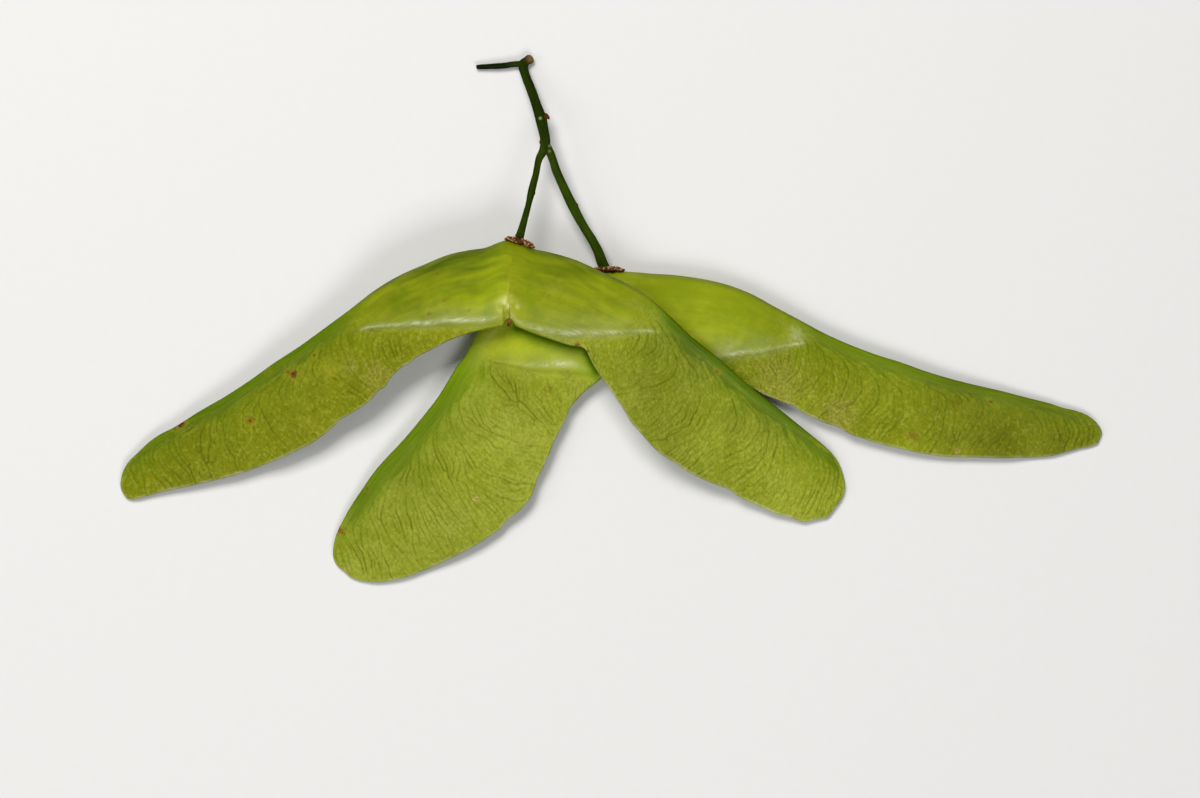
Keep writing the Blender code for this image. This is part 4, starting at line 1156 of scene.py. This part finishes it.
def make_stalk():
    bm = bmesh.new()
    left = PEDUNCLE_AND_LEFT_PEDICEL + [(-8.66, 7.70, 4.78, 0.43), (-8.76, 7.42, 4.80, 0.46)]
    right = RIGHT_PEDICEL + [(-0.74, 5.02, 1.52, 0.50), (-0.62, 4.76, 1.50, 0.50)]
    routes = [tube_bm(bm, left, 28, 0.12), tube_bm(bm, right, 28, 0.12),
              tube_bm(bm, SIDE_BRANCH, 22, 0.12)]
    ball_bm(bm, CUT_END[:3], (0.42, 0.47, 0.44), math.radians(35))
    ball_bm(bm, (-8.30, 24.20, 0.54), (0.50, 0.46, 0.44))
    # the bract scale at the node, the scars at the fork and on the right pedicel
    ball_bm(bm, (-6.22, 19.22, 2.28), (0.36, 0.22, 0.22), math.radians(-28))
    ball_bm(bm, (-5.98, 19.02, 2.30), (0.22, 0.13, 0.16), math.radians(-50))
    ball_bm(bm, (-6.66, 16.66, 2.86), (0.16, 0.22, 0.20))
    ball_bm(bm, (-6.86, 19.10, 2.44), (0.24, 0.20, 0.20))
    ball_bm(bm, (-3.36, 10.70, 2.20), (0.24, 0.30, 0.30), math.radians(30))
    ball_bm(bm, (-7.36, 11.86, 4.05), (0.20, 0.28, 0.25))
    verts, loops, sizes, edges = remesh("stalk", bm, 0.048, 5)
    normal = vertex_normals(verts, loops, sizes)
    # nearest route point gives the way along and around the stem
    route = np.vstack([r[:, :3] for r in routes])
    way = np.concatenate([np.concatenate([[0], np.cumsum(np.linalg.norm(np.diff(r[:, :3], axis=0), axis=1))]) + 40 * k
                          for k, r in enumerate(routes)])
    near = np.empty(len(verts), int)
    for lo in range(0, len(verts), 8000):
        d = np.linalg.norm(verts[lo : lo + 8000, None] - route[None], axis=2)
        near[lo : lo + 8000] = d.argmin(axis=1)
    s = way[near]
    off = verts - route[near]
    angle = np.arctan2(off[:, 2], off[:, 0] * 0.8 + off[:, 1] * 0.3)
    around = angle * 0.45
    ribs = lattice(s / 3.5, (angle + math.pi) * 6 / (2 * math.pi) * 1.6, 71, 2)
    verts = verts + normal * (0.018 * ribs + 0.014 * solid_noise(verts, 0.9, 75, 2))[:, None]
    verts = verts + normal * (0.006 * solid_noise(verts, 0.16, 78, 2))[:, None]

    def at(x, y, z, r):
        return np.exp(-((np.linalg.norm(verts - np.array([x, y, z]), axis=1) / r) ** 4))

    cut = at(-7.66, 24.70, 0.56, 0.46)
    # the cut face: a shallow pit inside a raised rim
    pit = np.exp(-((np.linalg.norm(verts - np.array([-7.50, 24.80, 0.66]), axis=1) / 0.22) ** 2))
    verts = verts - normal * (0.07 * pit)[:, None]
    rough = solid_noise(verts, 0.13, 81, 2)
    verts = verts + normal * (0.030 * cut * rough)[:, None]
    brown = np.clip(cut * 1.1, 0, 1)
    red = np.clip(at(-6.00, 19.05, 2.35, 0.36) + 0.9 * at(-6.72, 16.66, 2.95, 0.20)
                  + 0.35 * at(-8.0, 24.35, 0.6, 0.4) + 0.6 * at(-3.2, 10.75, 2.35, 0.16), 0, 1)
    verts = verts + normal * (0.025 * red * rough)[:, None]
    pale = np.clip(0.62 * at(-6.72, 18.92, 2.62, 0.16) + 0.42 * at(-5.88, 16.30, 3.15, 0.15)
                   + 0.30 * at(-5.86, 15.80, 3.12, 0.18), 0, 1)
    # painted shade: darker up the peduncle above the fork, on the side twig and on the left pedicel
    shade = 0.58 * ease((verts[:, 1] - 14.5) / 3.5)
    shade = np.maximum(shade, 0.92 * ease((-8.5 - verts[:, 0]) / 1.8) * (verts[:, 1] > 23))
    shade = np.maximum(shade, 0.38 * ease((-6.6 - verts[:, 0]) / 0.5))
    verts[:, 2] = np.maximum(verts[:, 2], 0.01)
    attrs = {"brown": brown, "red": red, "pale": pale, "shade": shade,
             "st": np.stack([s, around, np.zeros(len(s))], -1)}
    return add_mesh("stalk_skin", verts, loops, sizes, stalk_material(), attrs)


def make_calyx(name, left, right, seam_z, share, mat, seed, bulk):
    """Crumbly remains of the calyx along the nutlets' shoulders."""
    rng = np.random.default_rng(seed)
    path = np.vstack([even(left.lead, np.linspace(share[0], 0, 6))[:-1],
                      even(right.lead, np.linspace(0, share[1], 7))])
    path = smooth_curve(even(path, np.linspace(0, 1, 7)), 8)[0]
    path = even(path, np.linspace(0, 1, 41))
    along = np.gradient(path, axis=0)
    along /= np.linalg.norm(along, axis=1)[:, None]
    out = np.stack([-along[:, 1], along[:, 0]], 1)
    if out[:, 1].mean() < 0:
        out = -out
    base = path + out * 0.13
    bm = bmesh.new()
    for k in range(1, 40, 2):
        t = k / 40
        size = 0.40 + 0.60 * math.sin(math.pi * t) ** 0.6
        ball_bm(bm, (*base[k], seam_z), (0.22, 0.19 * size * bulk, 0.95 * size),
                math.atan2(along[k][1], along[k][0]))
    # frayed lobes of the sepals and crumbs, mostly on the upper face
    for _ in range(150):
        k = int(rng.integers(0, 41))
        t = k / 40
        size = 0.40 + 0.60 * math.sin(math.pi * t) ** 0.6
        ang = rng.uniform(0, 2 * math.pi)
        c = base[k] + out[k] * (math.cos(ang) * 0.17 * size * bulk + 0.03)
        r = rng.uniform(0.045, 0.12)
        ball_bm(bm, (*c, seam_z + math.sin(ang) * 0.92 * size),
                (r * rng.uniform(0.8, 1.8), r, r * rng.uniform(0.8, 1.4)), rng.uniform(0, 3.1))
    for _ in range(16):
        k = int(rng.integers(2, 39))
        c = base[k] + out[k] * rng.uniform(0.10, 0.24) * bulk
        r = rng.uniform(0.04, 0.07)
        ball_bm(bm, (*c, seam_z + rng.uniform(-0.6, 0.8)), (r, r * rng.uniform(1.5, 2.6), r), rng.uniform(-0.8, 0.8))
    verts, loops, sizes, edges = remesh(name, bm, 0.026, 1)
    normal = vertex_normals(verts, loops, sizes)
    verts = verts + normal * (0.045 * solid_noise(verts, 0.17, seed + 3, 3))[:, None]
    chip = np.clip(0.5 + 0.9 * solid_noise(verts, 0.21, seed + 7, 2), 0, 1)
    return add_mesh(name, verts, loops, sizes, mat, {"chip": chip})


def make_style(name, seam, seam_z, mat, seed):
    """The style's dry stub in the notch."""
    foot, top = np.array(seam[2]), np.array(seam[0])
    down = (foot - top) / np.linalg.norm(foot - top)
    bm = bmesh.new()
    pts = []
    for k, (d, r) in enumerate([(0.13, 0.17), (0.26, 0.19), (0.42, 0.20), (0.58, 0.175), (0.72, 0.12)]):
        c = foot + down * d
        pts.append((c[0], c[1], seam_z + 0.03 * k, r))
    tube_bm(bm, pts, 18, 0.06)
    ball_bm(bm, (*(foot + down * 0.66), seam_z + 0.16), (0.13, 0.11, 0.15))
    ball_bm(bm, (*(foot + down * 0.45), seam_z + 0.06), (0.19, 0.20, 0.22))
    verts, loops, sizes, edges = remesh(name, bm, 0.020, 3)
    normal = vertex_normals(verts, loops, sizes)
    verts = verts + normal * (0.020 * solid_noise(verts, 0.11, seed + 3, 3))[:, None]
    return add_mesh(name, verts, loops, sizes, mat)


# ============================================================================
# looks of the four samaras
# ============================================================================
BASE = dict(
    wing=rgb(128, 134, 18), wing_light=rgb(142, 147, 34), wing_olive=rgb(116, 124, 8),
    wing_deep=rgb(100, 110, 2), sparkle=rgb(172, 176, 66),
    edge=rgb(82, 106, 0), edge_light=rgb(101, 125, 2),
    nut=rgb(140, 150, 8), nut_light=rgb(153, 162, 18), nut_green=rgb(120, 136, 1),
    nut_shoulder=rgb(84, 102, 0),
    vein=rgb(80, 88, 0), vein_strength=0.60, fingers=0.70, tail=0.50, far=98.0, crest_highlight_at=0.94,
    # pale is the colour of the painted highlights and of the cream patch at the notch
    yellow=rgb(174, 172, 44), seam=rgb(104, 78, 6), pale=rgb(206, 210, 160),
    rim=rgb(196, 196, 150), spot=rgb(132, 78, 22), spot_dark=rgb(52, 22, 4),
    edge_from=0.55, edge_soft=2.0, edge_start=0.10, shoulder=0.50, specular=0.16, cream=1.0,
)
# each look also sets the painted highlight on the nutlet's lower shoulder: where across the nutlet it runs and how
# strong it is along the samara
LOOKS = {
    "front_left": dict(
        BASE,
        wing=rgb(126, 131, 12), wing_light=rgb(140, 144, 26), shoulder=1.30, nut_shoulder=rgb(64, 82, 0), far=99.0, crest_highlight_at=0.925,
        tone=[(0, 1.07), (0.05, 1.14), (0.16, 1.0), (0.25, 0.98), (0.36, 0.93), (0.45, 0.90), (0.6, 0.92), (0.8, 0.84), (1, 0.95)],
        crest_highlight=[(0.0, 0.0), (0.05, 0.25), (0.10, 0.9), (0.20, 1.0), (0.27, 0.75), (0.34, 0.95), (0.375, 0.4), (0.41, 0.0), (1.0, 0.0)],
        spots=[(-30.14, -5.27, 0.24, 1.0), (-30.60, -5.05, 0.14, 0.7), (-34.22, -9.69, 0.19, 0.95),
               (-40.97, -10.10, 0.28, 1.0), (-41.45, -10.25, 0.18, 0.9), (-28.10, -3.55, 0.13, 0.7),
               (-32.62, -5.05, 0.13, 0.5), (-15.70, 1.66, 0.14, 0.35), (-17.22, 0.42, 0.16, 0.45),
               (-16.46, 4.13, 0.12, 0.30), (-13.42, 0.71, 0.12, 0.30)],
        rings=[(-34.22, -9.69, 0.36, 0.22)],
        pales=[(-22.0, -5.6, 1.5, 0.14), (-24.6, -4.6, 0.8, 0.14)],
        yellows=[(-26.7, -4.9, 1.0, 0.42), (-28.5, -10.0, 1.0, 0.12)],
        clouds=[(-11.5, 2.6, 1.8, 0.16), (-15.2, 1.8, 1.6, 0.10), (-16.4, 4.2, 1.2, -0.14), (-20.1, -3.0, 1.6, -0.10),
                (-29.6, -10.6, 2.0, -0.09), (-9.9, 0.9, 0.9, 0.10)],
    ),
    "front_right": dict(
        BASE,
        wing=rgb(134, 143, 32), wing_light=rgb(149, 155, 48), wing_olive=rgb(122, 134, 18),
        wing_deep=rgb(106, 118, 6),
        edge=rgb(68, 93, 0), edge_light=rgb(85, 112, 2),
        shoulder=0.95, far=112.0, crest_highlight_at=0.942, edge_start=0.21,
        tone=[(0, 0.97), (0.10, 0.97), (0.22, 0.98), (0.30, 1.04), (0.38, 0.96), (0.42, 0.89), (0.55, 0.99), (0.75, 1.10), (1, 1.12)],
        crest_highlight=[(0.0, 0.2), (0.06, 0.4), (0.15, 0.8), (0.25, 1.0), (0.33, 0.65), (0.40, 0.45), (0.46, 0.0), (1.0, 0.0)],
        spots=[(-3.25, -2.62, 0.18, 0.8), (-2.45, -3.22, 0.22, 0.75), (10.05, -4.99, 0.12, 0.6),
               (-5.9, 2.1, 0.10, 0.25)],
        pales=[(8.67, -4.23, 0.12, 0.5)],
        yellows=[(-5.6, 2.4, 0.9, 0.25), (-4.4, 1.9, 0.6, 0.2)],
        clouds=[(4.6, 0.1, 2.1, 0.30), (0.3, -5.0, 1.9, -0.14), (7.5, -3.0, 1.3, -0.12), (2.7, -6.0, 2.0, -0.06)],
    ),
    "back_left": dict(
        BASE,
        wing=rgb(139, 147, 40), wing_light=rgb(154, 160, 58), wing_olive=rgb(127, 138, 24),
        wing_deep=rgb(110, 122, 8),
        nut=rgb(156, 166, 24), nut_light=rgb(166, 174, 36), nut_green=rgb(142, 158, 12),
        nut_shoulder=rgb(124, 144, 4),
        edge=rgb(88, 112, 0), edge_light=rgb(106, 130, 4), edge_from=1.1, edge_soft=2.7,
        far=97.0, crest_highlight_at=0.885,
        # the front pair's trailing edge, along which a painted shadow lies on this nutlet
        under=[(-8.9, -0.95), (-8.19, -1.12), (-7.05, -1.57), (-5.82, -1.98), (-4.68, -2.36), (-3.82, -2.59),
               (-3.21, -2.69), (-2.59, -2.86), (-2.21, -3.40), (-1.78, -4.28), (-1.35, -4.99)],
        tone=[(0, 1.0), (0.16, 1.0), (0.24, 1.0), (0.42, 1.04), (0.7, 0.98), (0.85, 1.0), (1, 1.08)], cream=0.0,
        crest_highlight=[(0.0, 0.0), (0.09, 0.0), (0.13, 0.2), (0.17, 0.58), (0.22, 0.58), (0.28, 0.28), (0.34, 0.10), (0.38, 0.0), (1.0, 0.0)],
        spots=[(-25.83, -20.11, 0.26, 0.8), (-23.18, -16.13, 0.14, 0.5)],
        rings=[(-6.02, -6.69, 0.28, 0.34)],
        pales=[(-12.95, -17.12, 0.20, 0.85), (-12.72, -17.02, 0.14, 0.8), (-25.3, -24.0, 0.5, 0.25)],
        yellows=[(-25.5, -21.0, 1.1, 0.2)],
        clouds=[(-14.2, -5.0, 1.5, 0.15), (-23.9, -16.3, 1.2, -0.22), (-7.2, -4.3, 1.1, -0.13), (-8.7, -7.7, 2.2, -0.09),
                (-12.5, -13.4, 2.2, 0.06)],
    ),
    "back_right": dict(
        BASE,
        wing=rgb(124, 132, 14), wing_light=rgb(138, 145, 28), wing_olive=rgb(112, 122, 6),
        edge=rgb(92, 112, 2), edge_light=rgb(110, 130, 12),
        nut=rgb(144, 156, 16), nut_light=rgb(158, 168, 38), nut_green=rgb(122, 139, 4),
        nut_shoulder=rgb(124, 138, 6),
        far=110.0, crest_highlight_at=0.93,
        tone=[(0, 0.98), (0.33, 0.96), (0.39, 1.03), (0.44, 0.93), (0.58, 1.05), (0.70, 0.88), (0.80, 0.74), (0.9, 0.80), (1, 0.88)], cream=0.0,
        crest_highlight=[(0.0, 0.0), (0.15, 0.2), (0.22, 0.55), (0.28, 0.55), (0.33, 0.6), (0.375, 1.0), (0.405, 0.4), (0.43, 0.0), (1.0, 0.0)],
        spots=[(28.57, -11.05, 0.28, 0.40), (28.9, -11.5, 0.16, 0.4), (35.98, -7.95, 0.12, 0.6)],
        rings=[(32.65, -8.14, 0.32, 0.32)],
        # painted highlight spots on the nutlet
        glints=[(17.5, -1.7, 0.62, 0.30), (17.2, -1.2, 0.4, 0.22), (11.0, -3.1, 0.6, 0.22)],
        pales=[(32.80, -12.78, 0.30, 0.35), (16.0, -6.0, 2.6, 0.13), (21.5, -9.2, 1.7, 0.15)],
        yellows=[(33.5, -12.6, 0.9, 0.25)],
        clouds=[(36.9, -7.4, 1.6, 0.18), (35.0, -10.7, 2.4, -0.12), (27.4, -8.7, 2.4, 0.07)],
    ),
}

made, shapes = {}, {}
for key, node, spec, side, seed in (
    ("front_left", "samara_front_left", FRONT_LEFT, -1, 5),
    ("front_right", "samara_front_right", FRONT_RIGHT, 1, 6),
    ("back_left", "samara_back_left", BACK_LEFT, -1, 7),
    ("back_right", "samara_back_right", BACK_RIGHT, 1, 8),
):
    look = LOOKS[key]
    mat = skin_material("skin_" + key, look, (0.013 * seed, 0.021 * seed, 0.0))
    obj, shapes[key] = samara_mesh(key + "_fruit", spec, side, seed, mat, look)
    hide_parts(node)
    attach(obj, "root")
    made[key] = obj

stalk = make_stalk()
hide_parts("stalk")
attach(stalk, "root")

crust = crust_material("calyx_crust", rgb(50, 18, 0), rgb(112, 58, 14), rgb(186, 142, 100))
peg = crust_material("style_peg", rgb(76, 38, 8), rgb(146, 88, 26), rgb(190, 150, 84))
for name, a, b, z, share, node, seed, bulk in (
    ("calyx_front_crust", "front_left", "front_right", 4.78, (0.022, 0.048), "calyx_front", 91, 1.25),
    ("calyx_back_crust", "back_left", "back_right", 1.50, (0.030, 0.036), "calyx_back", 92, 1.0),
):
    piece = make_calyx(name, shapes[a], shapes[b], z, share, crust, seed, bulk)
    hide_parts(node)
    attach(piece, "root")
for name, seam, z, node, seed in (
    ("style_front_peg", FRONT_SEAM, 4.78, "style_front", 95),
    ("style_back_peg", BACK_SEAM, 1.50, "style_back", 96),
):
    piece = make_style(name, seam, z, peg, seed)
    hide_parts(node)
    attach(piece, "root")


# ============================================================================
# stage, light, camera
# ============================================================================
def stage_floor():
    mesh = bpy.data.meshes.new("floor")
    s = 4.0
    mesh.from_pydata([(-s, -s, 0), (s, -s, 0), (s, s, 0), (-s, s, 0)], [], [(0, 1, 2, 3)])
    floor = bpy.data.objects.new("floor", mesh)
    bpy.context.scene.collection.objects.link(floor)
    t = Tree("floor_paper")
    grain = t.noise(t.position(), 900, 3, 0.6)
    # beyond the light's reach the paper runs out into the backdrop's even grey
    away = t.mat.node_tree.nodes.new("ShaderNodeVectorMath")
    away.operation = "LENGTH"
    t.put(away.inputs[0], t.position())
    far = t.ramp(away.outputs["Value"], 0.085, 0.27)
    paper = t.mix(grain, (0.715, 0.71, 0.70, 1), (0.735, 0.73, 0.72, 1))
    t.put(t.shader.inputs["Base Color"], t.mix(far, paper, (0.0, 0.0, 0.0, 1)))
    t.shader.inputs["Emission Color"].default_value = (1.0, 0.998, 0.985, 1)
    t.put(t.shader.inputs["Emission Strength"], t.math("MULTIPLY", far, 0.84))
    t.shader.inputs["Roughness"].default_value = 0.9
    t.shader.inputs["Specular IOR Level"].default_value = 0.1
    mesh.materials.append(t.mat)
    floor.location = (0, 0, -0.00002)
    floor.visible_glossy = False
    return floor


def area(name, place, target, size, power, colour=(1, 1, 1)):
    light = bpy.data.lights.new(name, "AREA")
    light.shape, light.size, light.size_y = "RECTANGLE", size[0], size[1]
    light.energy, light.color = power, colour
    obj = bpy.data.objects.new(name, light)
    bpy.context.scene.collection.objects.link(obj)
    obj.location = place
    obj.rotation_euler = (Vector(target) - Vector(place)).to_track_quat("-Z", "Y").to_euler()
    obj.visible_camera = False
    return obj


stage_floor()
key = area("key", (-0.12, 0.27, 0.45), (0, 0, 0), (0.26, 0.20), 2.45, (1.0, 0.99, 0.97))
key.visible_glossy = False
area("fill", (0.08, -0.32, 0.40), (0, -0.005, 0), (0.30, 0.20), 1.05, (1.0, 1.0, 1.0))
side_light = area("side", (-0.44, -0.06, 0.34), (0, 0, 0), (0.22, 0.30), 0.55, (1.0, 1.0, 1.0))
side_light.visible_glossy = False

world = bpy.data.worlds.new("studio")
world.use_nodes = True
wt = world.node_tree
back = wt.nodes["Background"]
back.inputs["Color"].default_value = (0.96, 0.97, 1.0, 1)
back.inputs["Strength"].default_value = 0.14
front = wt.nodes.new("ShaderNodeBackground")
front.inputs["Color"].default_value = (0.84, 0.838, 0.827, 1)
front.inputs["Strength"].default_value = 1.0
path = wt.nodes.new("ShaderNodeLightPath")
both = wt.nodes.new("ShaderNodeMixShader")
wt.links.new(path.outputs["Is Camera Ray"], both.inputs[0])
wt.links.new(back.outputs[0], both.inputs[1])
wt.links.new(front.outputs[0], both.inputs[2])
wt.links.new(both.outputs[0], wt.nodes["World Output"].inputs["Surface"])
bpy.context.scene.world = world

LENS = 250.0
FRAME_WIDTH = 1200 * 0.095 * MM
camera = bpy.data.cameras.new("camera")
camera.sensor_width = 36.0
camera.lens = LENS
camera.clip_start, camera.clip_end = 0.01, 50.0
cam = bpy.data.objects.new("camera", camera)
bpy.context.scene.collection.objects.link(cam)
cam.location = (-1.07 * MM, -7.65 * MM, FRAME_WIDTH * LENS / 36.0)
cam.rotation_euler = (0, 0, 0)
bpy.context.scene.camera = cam

view = bpy.context.scene.view_settings
view.view_transform = "Standard"
view.look = "None"
view.exposure, view.gamma = 0.0, 1.0

bpy.context.view_layer.update()
